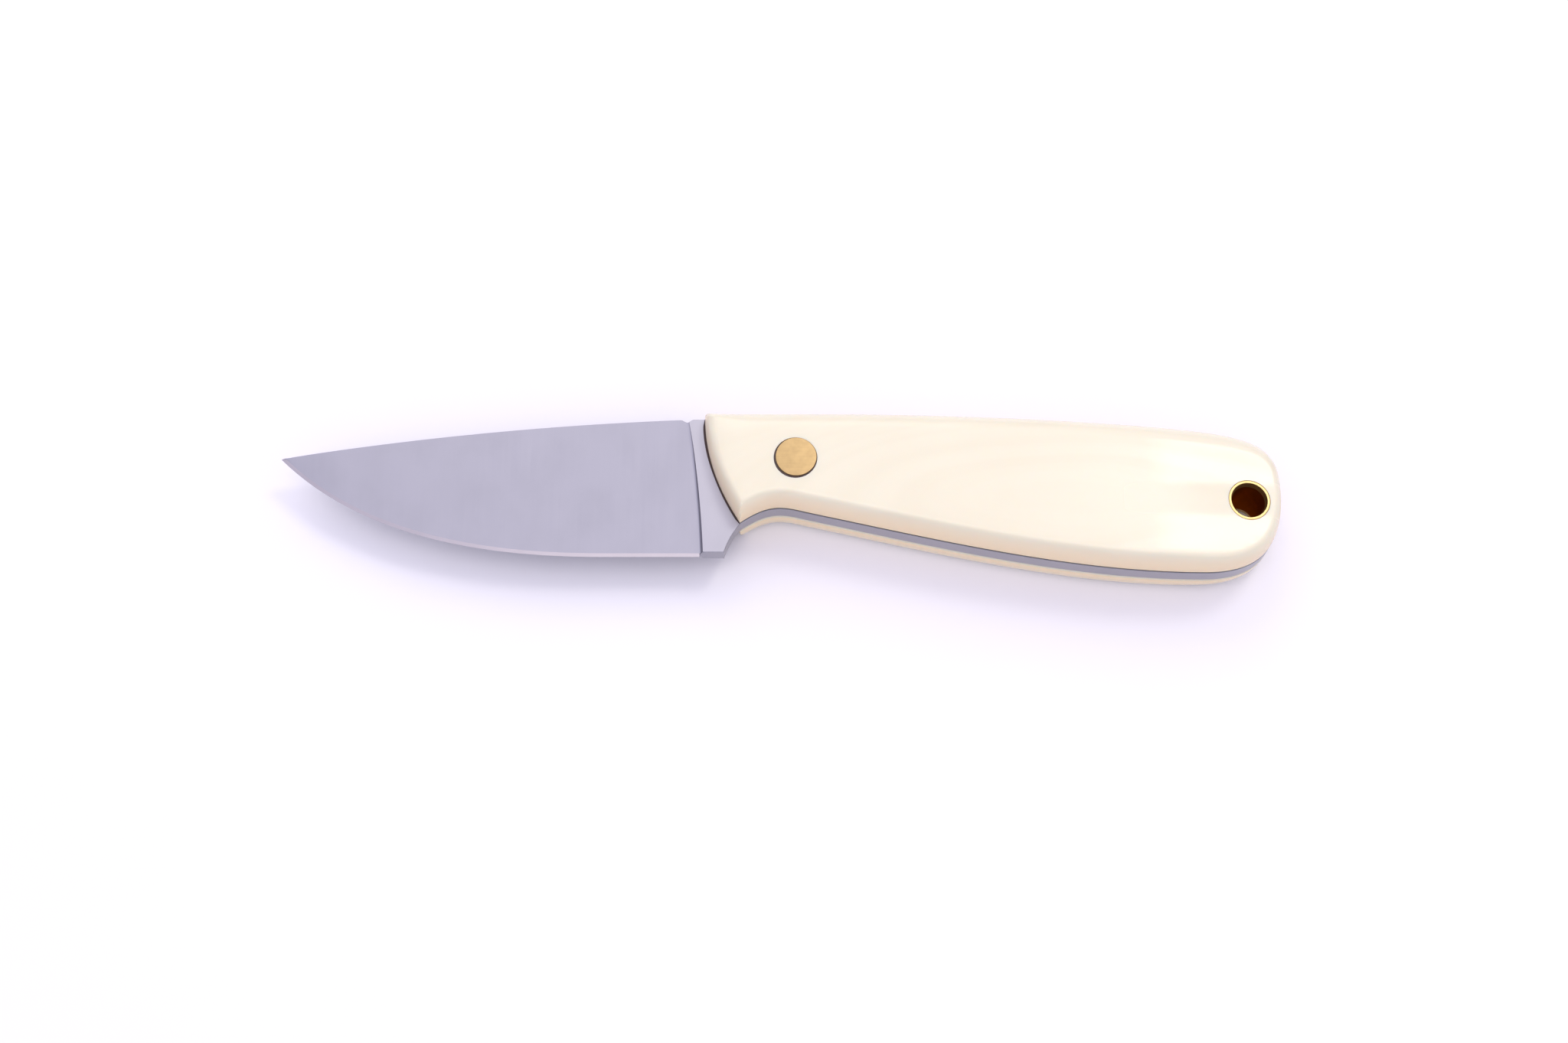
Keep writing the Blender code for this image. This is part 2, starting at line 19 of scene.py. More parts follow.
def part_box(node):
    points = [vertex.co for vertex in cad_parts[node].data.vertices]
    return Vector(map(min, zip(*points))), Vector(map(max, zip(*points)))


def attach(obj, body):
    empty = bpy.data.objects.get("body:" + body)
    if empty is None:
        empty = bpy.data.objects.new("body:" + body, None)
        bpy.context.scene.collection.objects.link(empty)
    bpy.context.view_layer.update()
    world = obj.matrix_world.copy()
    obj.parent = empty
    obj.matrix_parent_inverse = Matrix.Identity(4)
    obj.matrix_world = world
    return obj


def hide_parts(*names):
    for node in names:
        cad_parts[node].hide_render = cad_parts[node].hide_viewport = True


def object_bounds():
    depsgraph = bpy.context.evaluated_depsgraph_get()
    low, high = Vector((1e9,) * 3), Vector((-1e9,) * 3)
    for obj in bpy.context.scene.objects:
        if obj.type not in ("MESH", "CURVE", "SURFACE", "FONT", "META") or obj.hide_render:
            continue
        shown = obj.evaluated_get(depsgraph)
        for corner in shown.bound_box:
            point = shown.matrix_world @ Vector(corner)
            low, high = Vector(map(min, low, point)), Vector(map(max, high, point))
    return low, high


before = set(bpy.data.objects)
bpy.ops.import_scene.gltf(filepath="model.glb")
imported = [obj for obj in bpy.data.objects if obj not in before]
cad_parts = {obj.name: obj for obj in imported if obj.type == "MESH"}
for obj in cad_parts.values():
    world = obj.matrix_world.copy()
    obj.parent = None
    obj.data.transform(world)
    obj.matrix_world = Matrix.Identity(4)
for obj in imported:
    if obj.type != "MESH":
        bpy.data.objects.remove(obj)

bl_info = {
    "name": "Bone-handled craft knife",
    "version": (1, 0, 0),
    "blender": (4, 5, 0),
    "location": "View3D > Sidebar > Knife",
    "description": "Builds and finishes a small full-tang craft knife around its frame",
    "category": "Object",
}

MM = 0.001
CAD_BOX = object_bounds()

# Sizes read from the frame
BLADE_LOW, BLADE_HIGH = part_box("blade")
SCALE_LOW, SCALE_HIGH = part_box("front_scale")
BOLT_LOW, BOLT_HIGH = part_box("bolt_sleeve")
TUBE_LOW, TUBE_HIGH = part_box("lanyard_tube")

# Blade
TIP_HEIGHT = 17.2 * MM          # tip above the edge line
BLADE_WIDTH = 23.85 * MM        # edge to spine, at the plunge
TIP_DROP_DEG = 44.0             # how steeply the edge leaves the tip
SPINE_BULGE = 1.03 * MM         # spine above the straight line from tip to plunge
STRAIGHT_EDGE = 16.0 * MM       # straight edge, ending at the plunge
BEVEL_WIDTH = 0.55 * MM         # secondary bevel, across the edge
SHOULDER_THICKNESS = 0.5 * MM   # steel left behind the secondary bevel
SPINE_RELIEF = 0.08 * MM        # what the grind takes off each face at the spine
PLUNGE_HEAD = 3.3 * MM          # plunge line ahead of the scales, at the spine
PLUNGE_FOOT = 0.70 * MM         # plunge line ahead of the scales, at the edge
PLUNGE_BOW = 0.35 * MM          # bow of the plunge line towards the handle
PLUNGE_RISE = 0.6 * MM          # length of the curved step up to the ricasso
NOTCH_DEPTH = 0.50 * MM         # grinding nick where the plunge leaves the spine
NOTCH_WIDTH = 2.2 * MM

# Handle outline
RICASSO_LIFT = 0.3 * MM         # flat under the ricasso, above the edge line
CHOIL_START = 3.3 * MM          # end of that flat
CHOIL_START_DEG = 72.0          # the choil leaves the flat steeply
CHOIL_END_DEG = 52.0            # and meets the scales' corner less steeply
CORNER_SET = 5.9 * MM           # lower front corner of the scales, behind their front
CORNER_HEIGHT = 5.2 * MM
CORNER_RISE_DEG = 34.0          # finger groove rising from that corner
GROOVE_SET = 12.4 * MM          # crest of the finger groove
GROOVE_HEIGHT = 7.8 * MM
GROOVE_FALL = 4.9 * MM          # from the crest to the straight slope of the belly
GROOVE_FALL_SHARE = 0.8         # slope of that fall, as a share of the belly's slope
BELLY_SLOPE_DEG = 12.6
SWELL_DROP = 3.4 * MM           # palm swell below the edge line
SWELL_SETBACK = 13.0 * MM       # palm swell ahead of the butt
BUTT_HEIGHT = 10.6 * MM         # rearmost point of the butt above the edge line
BUTT_LOW_FULLNESS = 0.69        # 0.55 is a round corner, 1 a square one
BUTT_HIGH_FULLNESS = 0.76
SHOULDER_SETBACK = 16.5 * MM    # where the back starts to turn down to the butt
SHOULDER_DIP = 2.7 * MM         # back below the spine there
SHOULDER_SLOPE_DEG = 5.5
BACK_FLAT = 30.0 * MM           # nearly straight part of the back
BACK_DIP = 0.10 * MM            # back below the spine at its end
BACK_SLOPE_DEG = 1.0
FRONT_BOW = 5.2 * MM            # fullness of the scales' curved front
FRONT_LEAN_DEG = 122.0          # direction of that front at its lower corner
FRONT_TOP_REACH = 1.2           # handle at its top, as a multiple of the usual reach

# Scales
SCALE_WALL = 0.7 * MM           # upright edge before the rounding starts
ROUND_WIDTH = 1.7 * MM          # how far in from the edge the rounding reaches
BACK_ROUND_WIDTH = 3.6 * MM     # and how far along the handle's back
BACK_ROUND_START = 13.0 * MM    # height at which the wider rounding starts to take over
BACK_ROUND_SPAN = 6.0 * MM
FRONT_TAPER = 7.5 * MM          # length over which the front thins
FRONT_THINNING = 0.9 * MM
BUTT_TAPER = 22.0 * MM          # length over which the butt thins
BUTT_THINNING = 1.3 * MM
DOME_REACH = 8.0 * MM           # how far in from the edge the crown still rises
RIDGE_WIDTH = 2.6 * MM          # ridge that sanding leaves in line with the hard tube
RIDGE_LENGTH = 11.0 * MM

# Brass
BOLT_HEAD_DEPTH = 2.2 * MM
BARREL_DIAMETER = 4.8 * MM
BARREL_PAST_TANG = 1.6 * MM
SCREW_DIAMETER = 2.8 * MM
THREAD_PITCH = 0.7 * MM
THREAD_DEPTH = 0.2 * MM
BOLT_CAP = 1.4 * MM
TUBE_WALL = 0.45 * MM
CLEARANCE = 0.3 * MM
TUBE_FLARE = 0.22 * MM          # how far the bore narrows, in radius, below its mouth
FLARE_SHARE = 0.25              # depth of that flare, as a share of half the tube
TARNISH_SHARE = 0.55            # bore that polish never reaches, as a share of a scale
HEAD_SINK = 0.05 * MM           # bolt heads below the bone's full thickness

# Glue
GLUE_CRESCENT_DEG = 236.0           # the head's hole and its glue sit off the bolt's axis towards the edge, so the glue shows as a dark crescent there: partly a glue gap, partly painted shadow of the proud head
GLUE_SINK = 0.14 * MM           # glue below the bone's surface round the brass
GLUE_DEPTH = 0.6 * MM
GLUE_SKIN = 0.01 * MM           # gap between glue and what it sticks to
BEAD_WIDEST = 1.25              # width of the front bead near the spine, as a share of the set width
BEAD_THINNING = 0.6             # how much of that is gone at the finger groove
BEAD_WAVE = 0.12                # unevenness left by the wiping finger
BEAD_WAVES = 9.0                # its turns along the bead, in radians
BEAD_END = 0.3                  # width left at the bead's ends
BEAD_GROWTH = 12.0              # how fast it grows from there
# Section of the bead, outwards and upwards, as shares of its width
BEAD_PROFILE = [(-0.3, 0.0), (1.0, 0.0), (0.72, 0.22), (0.35, 0.6), (0.05, 1.1), (-0.3, 1.1)]

# Worked out from the frame
BLADE_LENGTH = SCALE_LOW.x - BLADE_LOW.x
HANDLE_LENGTH = BLADE_HIGH.x - SCALE_LOW.x
HALF_STEEL = (BLADE_HIGH.z - BLADE_LOW.z) / 2
ORIGIN = Vector((SCALE_LOW.x, BLADE_LOW.y + SWELL_DROP, (BLADE_LOW.z + BLADE_HIGH.z) / 2))
SEAT = SCALE_LOW.z - ORIGIN.z
SCALE_THICKNESS = SCALE_HIGH.z - SCALE_LOW.z
BOLT_CENTRE = ((BOLT_LOW + BOLT_HIGH) / 2 - ORIGIN).to_2d()
BOLT_RADIUS = (BOLT_HIGH.x - BOLT_LOW.x) / 2
BOLT_TOP = BOLT_HIGH.z - ORIGIN.z
TUBE_CENTRE = ((TUBE_LOW + TUBE_HIGH) / 2 - ORIGIN).to_2d()
TUBE_RADIUS = (TUBE_HIGH.x - TUBE_LOW.x) / 2

# Fineness
CURVE_REACH = 0.35              # usual length of a curve's handles, as a share of its span
CORE_END_SHARE = 0.6            # end of the handle's core line, between swell and butt
EDGE_STEPS = 110
STRAIGHT_STEPS = 24
GROOVE_RISE_STEPS = 16
GROOVE_FALL_STEPS = 8
BELLY_STEPS = 56
BUTT_STEPS = 40
BACK_STEPS = 40
BACK_FLAT_STEPS = 28
FRONT_STEPS = 36
CHOIL_STEPS = 16
SPINE_STEPS = 8
GRIND_ROWS = 20
PLUNGE_COLUMNS = 12
ROUND_RINGS = 14
CROWN_GRID = 1.25 * MM
TURNING_STEPS = 96
RIM_STEPS = 6
BORE_RINGS = 16
HALVINGS = 24
MERGE_DISTANCE = 0.001 * MM
SHARP_ANGLE_DEG = 18.0          # below the corner of the secondary bevel

# Finishes
BONE_GLOSS = 0.25               # roughness of buffed bone
RIDGE_GLOSS = 0.50              # and of the band in line with the tube, where buffing dips
FIGURE_START = 22 * MM          # growth layers begin to show this far ahead of the tube
FIGURE_FULL = 6 * MM

# Stage
FLOOR_HALF = 3.0                # half the side of the table
LAMP_DISTANCE = 0.9
SENSOR_WIDTH = 36.0             # of the camera, in its own millimetres
AIM_OFFSET = Vector((1.12 * MM, -4.02 * MM, 0))    # middle of the view from the knife's middle


# ---------------------------------------------------------------- colours

def linear(code):
    """Linear colour from an sRGB hex code such as D8B070."""
    shares = [int(code[i:i + 2], 16) / 255 for i in (0, 2, 4)]
    return [s / 12.92 if s <= 0.04045 else ((s + 0.055) / 1.055) ** 2.4 for s in shares]


def size(label, text, default):
    return FloatProperty(name=label, description=text, default=default, min=0.0,
                         precision=5, unit="LENGTH")


def colour(label, text, code):
    return FloatVectorProperty(name=label, description=text, subtype="COLOR", size=3,
                               min=0.0, max=1.0, default=linear(code))


# ---------------------------------------------------------------- settings

class SteelSettings(bpy.types.PropertyGroup):
    edge_break: size("Edge break", "Small flat that breaks the steel's sharp corners", 0.07 * MM)
    grind_line: size("Grind line", "Spacing of the belt's lines across the blade", 0.16 * MM)
    steel: colour("Steel", "Ground stainless steel", "B2B1B8")
    # Partly painted highlight: the honed bevel gets a brighter tone than the flats, standing in for
    # the light it reflects; the honing itself is real
    edge: colour("Cutting edge", "Freshly honed steel", "C2BCBF")


class BoneSettings(bpy.types.PropertyGroup):
    edge_break: size("Edge break", "Bone rubbed off its corner along the seam", 0.24 * MM)
    relief: size("Relief", "Bone sanded below the bolt's head", 0.15 * MM)
    dome: size("Dome", "Rise of the crown from its rounding to its middle", 0.08 * MM)
    ridge: size("Ridge", "Bone left proud in line with the tube, where sanding dips", 0.15 * MM)
    layer: size("Layer", "Spacing of the bone's growth layers", 1.1 * MM)
    light: colour("Light bone", "Bone between the layers", "EEE9D0")
    # Painted shade: warm beige laid on faces that turn away from straight up, standing in for warm
    # bounce light and shade on the rounding, not a denser bone
    edge: colour("Rounded edge", "Denser bone that the rounding cuts across", "F5DDB2")
    deep: colour("Deep bone", "Bone in the layers", "E9E2C7")


class GlueSettings(bpy.types.PropertyGroup):
    recess: size("Recess", "How far the glue line lies inside the handle's surface", 0.28 * MM)
    bead: size("Bead", "Width of the glue bead along the front of the scales", 0.30 * MM)
    # Partly painted shadow: ring and offset together leave a wide dark glue crescent on the edge
    # side of the bolt's head, where the proud head's shadow falls
    ring: size("Ring", "Mean gap around the bolt's head, filled with glue", 0.21 * MM)
    offset: size("Offset", "How far the head's hole sits off the bolt's axis", 0.19 * MM)
    tube_ring: size("Tube ring", "Gap around the tube", 0.045 * MM)
    epoxy: colour("Epoxy", "Dark cured epoxy", "35241C")


class BrassSettings(bpy.types.PropertyGroup):
    rim: size("Rim", "Rounding of the brass edges", 0.10 * MM)
    sanded: colour("Sanded brass", "Bolt head, sanded flush", "C6AA78")
    polished: colour("Polished brass", "Burnished rim of the tube", "E2C685")
    tarnished: colour("Tarnished brass", "Inside of the tube", "A25C24")


class StageSettings(bpy.types.PropertyGroup):
    tilt: FloatProperty(name="Tilt", description="Camera away from straight above",
                        default=math.radians(21), subtype="ANGLE")
    distance: size("Distance", "Camera to the middle of the view", 350 * MM)
    width: size("Width", "Width of the view at the steel's mid-plane", 258.1 * MM)
    floor: colour("Floor", "Matt white table", "F6F5F8")
    sky: colour("Sky", "Light of the room", "ECE9FF")
    lamp: colour("Lamp", "Light of the lamps", "FFF8EC")


# ---------------------------------------------------------------- outlines

def heading(degrees, length):
    """A step of a given length in a given direction of the XY plane."""
    angle = math.radians(degrees)
    return Vector((math.cos(angle), math.sin(angle))) * length


def curve(start, start_handle, end_handle, end, steps):
    """Points along one Bezier curve, without its last point."""
    flat = [p.to_3d() for p in (start, start_handle, end_handle, end)]
    return [p.to_2d() for p in interpolate_bezier(*flat, steps + 1)][:-1]


def corner_point():
    return Vector((CORNER_SET, CORNER_HEIGHT))


def top_front_point():
    return Vector((0.0, BLADE_WIDTH))


def groove_line():
    """Finger groove, from the scales' lower corner over its crest to the belly."""
    corner = corner_point()
    crest = Vector((GROOVE_SET, GROOVE_HEIGHT))
    slope_start = crest + heading(-BELLY_SLOPE_DEG * GROOVE_FALL_SHARE, GROOVE_FALL)
    reach = (crest - corner).length * CURVE_REACH
    rise = curve(corner, corner + heading(CORNER_RISE_DEG, reach),
                 crest - heading(0, reach), crest, GROOVE_RISE_STEPS)
    reach = GROOVE_FALL * CURVE_REACH
    fall = curve(crest, crest + heading(0, reach),
                 slope_start - heading(-BELLY_SLOPE_DEG, reach), slope_start,
                 GROOVE_FALL_STEPS)
    return rise + fall, slope_start


def handle_line():
    """From the lower front corner round the belly, butt and back to the top front."""
    groove, slope_start = groove_line()
    swell = Vector((HANDLE_LENGTH - SWELL_SETBACK, -SWELL_DROP))
    butt = Vector((HANDLE_LENGTH, BUTT_HEIGHT))
    shoulder = Vector((HANDLE_LENGTH - SHOULDER_SETBACK, BLADE_WIDTH - SHOULDER_DIP))
    flat_end = Vector((BACK_FLAT, BLADE_WIDTH - BACK_DIP))
    run = (swell.x - slope_start.x) / 3
    belly = curve(slope_start, slope_start + heading(-BELLY_SLOPE_DEG, run),
                  swell - heading(0, run), swell, BELLY_STEPS)
    low = curve(swell, swell + heading(0, SWELL_SETBACK * BUTT_LOW_FULLNESS),
                butt - heading(90, (BUTT_HEIGHT + SWELL_DROP) * BUTT_LOW_FULLNESS), butt,
                BUTT_STEPS)
    rise = shoulder.y - BUTT_HEIGHT
    high = curve(butt, butt + heading(90, rise * BUTT_HIGH_FULLNESS),
                 shoulder + heading(-SHOULDER_SLOPE_DEG, SHOULDER_SETBACK * BUTT_HIGH_FULLNESS),
                 shoulder, BUTT_STEPS)
    span = (shoulder.x - flat_end.x) / 3
    back = curve(shoulder, shoulder + heading(180 - SHOULDER_SLOPE_DEG, span),
                 flat_end + heading(-BACK_SLOPE_DEG, span), flat_end, BACK_STEPS)
    top = top_front_point()
    front = curve(flat_end, flat_end + heading(180 - BACK_SLOPE_DEG, BACK_FLAT / 3),
                  top + heading(0, BACK_FLAT / 3), top, BACK_FLAT_STEPS)
    return groove + belly + low + high + back + front + [top]


def scale_front():
    """Curved front of the scales, from the top corner down, without its ends."""
    top = top_front_point()
    low = corner_point()
    reach = (top.y - low.y) * CURVE_REACH * FRONT_TOP_REACH
    points = curve(top, top + heading(-90, reach),
                   low + heading(FRONT_LEAN_DEG, FRONT_BOW), low, FRONT_STEPS)
    return points[1:]


def scale_outline():
    return handle_line() + scale_front()


def choil_line():
    """Steel from the flat under the ricasso up to the scales' lower corner."""
    start = Vector((CHOIL_START, RICASSO_LIFT))
    end = corner_point()
    reach = (end - start).length * CURVE_REACH
    return curve(start, start + heading(CHOIL_START_DEG, reach),
                 end - heading(CHOIL_END_DEG, reach), end, CHOIL_STEPS)


def spine_height(x):
    """Spine: an arch from the tip to the plunge, level from there, with a small nick."""
    share = min(1.0, (x + BLADE_LENGTH) / (BLADE_LENGTH - PLUNGE_HEAD))
    straight = TIP_HEIGHT + (BLADE_WIDTH - TIP_HEIGHT) * share
    nick = smooth_step(1 - abs(x + PLUNGE_HEAD - PLUNGE_RISE / 2) / (NOTCH_WIDTH / 2))
    return straight + SPINE_BULGE * 4 * share * (1 - share) - NOTCH_DEPTH * nick


def edge_line():
    """Cutting edge from the tip to the plunge: a curve, then a straight stretch."""
    tip = Vector((-BLADE_LENGTH, TIP_HEIGHT))
    straight = Vector((-PLUNGE_FOOT - STRAIGHT_EDGE, 0.0))
    reach = (straight - tip).length * CURVE_REACH
    belly = curve(tip, tip + heading(-TIP_DROP_DEG, reach),
                  straight - heading(0, reach), straight, EDGE_STEPS)
    last = Vector((-PLUNGE_FOOT, 0.0))
    steps = [i / STRAIGHT_STEPS for i in range(STRAIGHT_STEPS + 1)]
    return belly + [straight.lerp(last, step) for step in steps]


def shoulder_line(edge):
    """Inner border of the secondary bevel, starting on the spine just behind the tip."""
    moved = []
    for i, point in enumerate(edge):
        along = edge[min(i + 1, len(edge) - 1)] - edge[max(i - 1, 0)]
        moved.append(point + Vector((-along.y, along.x)).normalized() * BEVEL_WIDTH)
    first = next(i for i, p in enumerate(moved) if i > 0 and p.y < spine_height(p.x))
    x = (edge[0].x + moved[first].x) / 2
    moved[0] = Vector((x, spine_height(x)))
    for i in range(1, first):
        moved[i] = moved[0].lerp(moved[first], i / first)
    return moved


# ---------------------------------------------------------------- shaping

def smooth_step(share):
    share = min(1.0, max(0.0, share))
    return share * share * (3 - 2 * share)


def ease(share):
    """smooth_step for an array."""
    share = np.clip(share, 0, 1)
    return share * share * (3 - 2 * share)


def distances(points, outline):
    """Distance from each point to a closed outline, both as N x 2 arrays."""
    side = np.roll(outline, -1, axis=0) - outline
    offset = points[:, None, :] - outline[None, :, :]
    share = np.clip((offset * side).sum(2) / (side ** 2).sum(1), 0, 1)
    return np.sqrt(((offset - side * share[..., None]) ** 2).sum(2)).min(1)


def inset_outline(outline, distance):
    """Outline moved in by a distance, each point sliding towards the handle's core line.

    The distance is one value, or one value for each point.
    """
    core_start = np.array((GROOVE_SET, (GROOVE_HEIGHT + BLADE_WIDTH) / 2))
    core_end = np.array((HANDLE_LENGTH - SWELL_SETBACK * CORE_END_SHARE, BUTT_HEIGHT))
    core = core_end - core_start
    share = np.clip((outline - core_start) @ core / (core @ core), 0, 1)
    way = core_start + share[:, None] * core - outline
    low, high = np.zeros(len(outline)), np.ones(len(outline))
    for _ in range(HALVINGS):
        middle = (low + high) / 2
        short = distances(outline + way * middle[:, None], outline) < distance
        low, high = np.where(short, middle, low), np.where(short, high, middle)
    return outline + way * high[:, None]


def round_widths(points):
    """Width of the rounding at N x 2 points: tight all round, but wide along the back."""
    x, y = points.T
    wide = ease((y - BACK_ROUND_START) / BACK_ROUND_SPAN) * ease(x / FRONT_TAPER)
    return ROUND_WIDTH + (BACK_ROUND_WIDTH - ROUND_WIDTH) * wide


def crown(points, outline, bone):
    """Height of a scale's outer surface above its seat, at N x 2 points."""
    depth = distances(points, outline)
    round_share = 1 - np.clip(depth / round_widths(points), 0, 1)
    full = SCALE_THICKNESS - bone.relief
    height = SCALE_WALL + (full - SCALE_WALL) * np.sqrt(1 - round_share ** 2)
    height -= bone.dome * (1 - ease(depth / DOME_REACH)) * height / full
    x, y = points.T
    across = (y - TUBE_CENTRE.y) / RIDGE_WIDTH
    along = (TUBE_CENTRE.x - x) / RIDGE_LENGTH
    ridge = np.exp(-across ** 2) * ease(1 - np.abs(along))
    height += bone.ridge * ridge
    front = FRONT_THINNING * (1 - ease(x / FRONT_TAPER))
    butt = BUTT_THINNING * ease((x - HANDLE_LENGTH + BUTT_TAPER) / BUTT_TAPER)
    return height * (SCALE_THICKNESS - front - butt) / SCALE_THICKNESS


def array(points):
    return np.array([tuple(p) for p in points])


# ---------------------------------------------------------------- mesh helpers

def add_ring(bm, points, z):
    return [bm.verts.new((p[0], p[1], z)) for p in points]


def bridge(bm, lower, upper):
    """Quads between two closed rings of equal length."""
    count = len(lower)
    for i in range(count):
        j = (i + 1) % count
        bm.faces.new((lower[i], lower[j], upper[j], upper[i]))


def turned(profile, centre):
    """Solid turned about the Z line through a centre, from (radius, z) points.

    A profile that starts and ends at radius 0 is a solid; one that stays off the axis
    is closed on itself and makes a tube.
    """
    bm = bmesh.new()
    rings = []
    for radius, z in profile:
        if radius == 0:
            rings.append([bm.verts.new((centre.x, centre.y, z))])
            continue
        spots = [centre + heading(360 * i / TURNING_STEPS, radius) for i in range(TURNING_STEPS)]
        rings.append(add_ring(bm, spots, z))
    pairs = list(zip(rings, rings[1:]))
    if len(rings[0]) > 1:
        pairs.append((rings[-1], rings[0]))
    for lower, upper in pairs:
        for i in range(TURNING_STEPS):
            j = (i + 1) % TURNING_STEPS
            around = [lower[i % len(lower)], lower[j % len(lower)],
                      upper[j % len(upper)], upper[i % len(upper)]]
            bm.faces.new(list(dict.fromkeys(around)))
    return bm


def place(bm, name, materials, cutters=()):
    """Turn a bmesh into a finished object at ORIGIN, bored by cutters, with crisp corners."""
    bmesh.ops.recalc_face_normals(bm, faces=bm.faces)
    mesh = bpy.data.meshes.new(name)
    bm.to_mesh(mesh)
    bm.free()
    for one in materials:
        mesh.materials.append(one)
    piece = bpy.data.objects.new(name, mesh)
    piece.location = ORIGIN
    bpy.context.scene.collection.objects.link(piece)
    for cutter in cutters:
        cut = piece.modifiers.new(cutter.name, "BOOLEAN")
        cut.operation = "DIFFERENCE"
        cut.solver = "EXACT"
        cut.object = cutter
    bake_modifiers(piece)
    return piece


def bake_modifiers(piece):
    """Keep the evaluated mesh, shaded smooth with its sharp corners marked."""
    graph = bpy.context.evaluated_depsgraph_get()
    mesh = bpy.data.meshes.new_from_object(piece.evaluated_get(graph))
    piece.modifiers.clear()
    old = piece.data
    piece.data = mesh
    bpy.data.meshes.remove(old)
    mesh.name = piece.name
    mesh.shade_smooth()
    mesh.set_sharp_from_angle(angle=math.radians(SHARP_ANGLE_DEG))


def drill_bit(name, centre, radius):
    """Round cutter right through the knife."""
    reach = SEAT + SCALE_THICKNESS + CLEARANCE
    profile = [(0, -reach), (radius, -reach), (radius, reach), (0, reach)]
    return place(turned(profile, centre), name, [])


def drop(pieces):
    """Clear away cutters that have done their work."""
    for piece in pieces:
        mesh = piece.data
        bpy.data.objects.remove(piece)
        bpy.data.meshes.remove(mesh)


def fit(piece, node):
    """Set a finished piece in the place of its frame node."""
    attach(piece, "root")
    if node:
        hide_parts(node)


# ---------------------------------------------------------------- materials

def add(tree, kind, values=None, links=None, **settings):
    """Add a node: settings are its own, values fill its sockets and links feed them."""
    made = tree.nodes.new(kind)
    for key, value in settings.items():
        setattr(made, key, value)
    for socket, value in (values or {}).items():
        made.inputs[socket].default_value = value
    for socket, source in (links or {}).items():
        tree.links.new(source, made.inputs[socket])
    return made


def new_material(name):
    """An empty material: its node tree, its shader and its coordinates in the bench frame."""
    made = bpy.data.materials.new(name)
    made.use_nodes = True
    tree = made.node_tree
    shader = tree.nodes["Principled BSDF"]
    spot = add(tree, "ShaderNodeTexCoord").outputs["Object"]
    return made, tree, shader, spot


def lines(tree, spot, grain, detail=2.0, turn=0.0):
    """Stretched noise: grain is the pattern's size along X, Y and Z."""
    scaled = add(tree, "ShaderNodeMapping", {"Scale": [1 / g for g in grain],
                                             "Rotation": (0, 0, turn)}, {"Vector": spot})
    return add(tree, "ShaderNodeTexNoise", {"Scale": 1.0, "Detail": detail},
               {"Vector": scaled.outputs["Vector"]}).outputs["Fac"]


def ramp(tree, value, low, high, to_low=0.0, to_high=1.0, smooth=False):
    """Value carried from one range over to another, held at its ends."""
    made = add(tree, "ShaderNodeMapRange", {"From Min": low, "From Max": high,
                                            "To Min": to_low, "To Max": to_high},
               {"Value": value}, interpolation_type="SMOOTHSTEP" if smooth else "LINEAR")
    return made.outputs["Result"]


def between(tree, share, first, second):
    """Colour between two plain colours."""
    return add(tree, "ShaderNodeMix", {"A": (*first, 1), "B": (*second, 1)}, {"Factor": share},
               data_type="RGBA").outputs["Result"]


def maths(tree, operation, *parts):
    """One sum on numbers and sockets."""
    made = add(tree, "ShaderNodeMath", operation=operation)
    for socket, part in zip(made.inputs, parts):
        if isinstance(part, bpy.types.NodeSocket):
            tree.links.new(part, socket)
        else:
            socket.default_value = part
    return made.outputs["Value"]


def steel_material(name, tone, grain, rough, relief):
    """Stainless steel cut by an abrasive belt: a soft grey sheen drawn out across the lines."""
    made, tree, shader, spot = new_material(name)
    cut = lines(tree, spot, grain)
    wide = lines(tree, spot, [g * 5 for g in grain])
    cloud = lines(tree, spot, (7 * MM, 9 * MM, 7 * MM), 3.0)
    both = add(tree, "ShaderNodeMix", {"Factor": 0.4}, {"A": cut, "B": wide}).outputs["Result"]
    dark = [c * 0.98 for c in tone]
    tint = between(tree, ramp(tree, both, 0.25, 0.75), dark, tone)
    smudge = ramp(tree, cloud, 0.3, 0.6, to_low=0.955)
    shade = add(tree, "ShaderNodeVectorMath", None, {0: tint, 1: smudge}, operation="MULTIPLY")
    tree.links.new(shade.outputs["Vector"], shader.inputs["Base Color"])
    shader.inputs["Metallic"].default_value = 1.0
    uneven = ramp(tree, both, 0.3, 0.7, rough - 0.02, rough + 0.02)
    tree.links.new(uneven, shader.inputs["Roughness"])
    bump = add(tree, "ShaderNodeBump", {"Distance": relief}, {"Height": cut})
    tree.links.new(bump.outputs["Normal"], shader.inputs["Normal"])
    return made


def belt_ground_steel(steel):
    """Ground faces of the blade: faint lines run from the edge to the spine."""
    return steel_material("belt_ground_stainless_steel", steel.steel,
                          (steel.grind_line, 12 * MM, 12 * MM), 0.30, 0.0006 * MM)


def ricasso_steel(steel):
    """Flats of the ricasso and tang, straight off a coarser belt: more matt than the blade."""
    return steel_material("coarse_belt_stainless_steel", steel.steel,
                          (steel.grind_line, 12 * MM, 12 * MM), 0.42, 0.0012 * MM)


def honed_steel(steel):
    """Secondary bevel, honed on a stone, with short cross lines; its brighter tone than the flats is
    partly painted highlight.
    """
    return steel_material("stone_honed_stainless_steel", steel.edge,
                          (steel.grind_line, 1 * MM, 1 * MM), 0.30, 0.004 * MM)


def draw_filed_steel(steel):
    """Spine and tang edges, dressed lengthwise with a file and fine paper; their darker tone is
    painted shade.
    """
    grain = (14 * MM, 14 * MM, steel.grind_line)
    # Painted shade: the filed edges are darkened to 0.90 of the blade's steel, standing in for the
    # shaded floor these upright edges reflect; the lines and roughness are the real finish
    tone = [c * 0.90 for c in steel.steel]
    return steel_material("draw_filed_stainless_steel", tone, grain, 0.34, 0.0025 * MM)


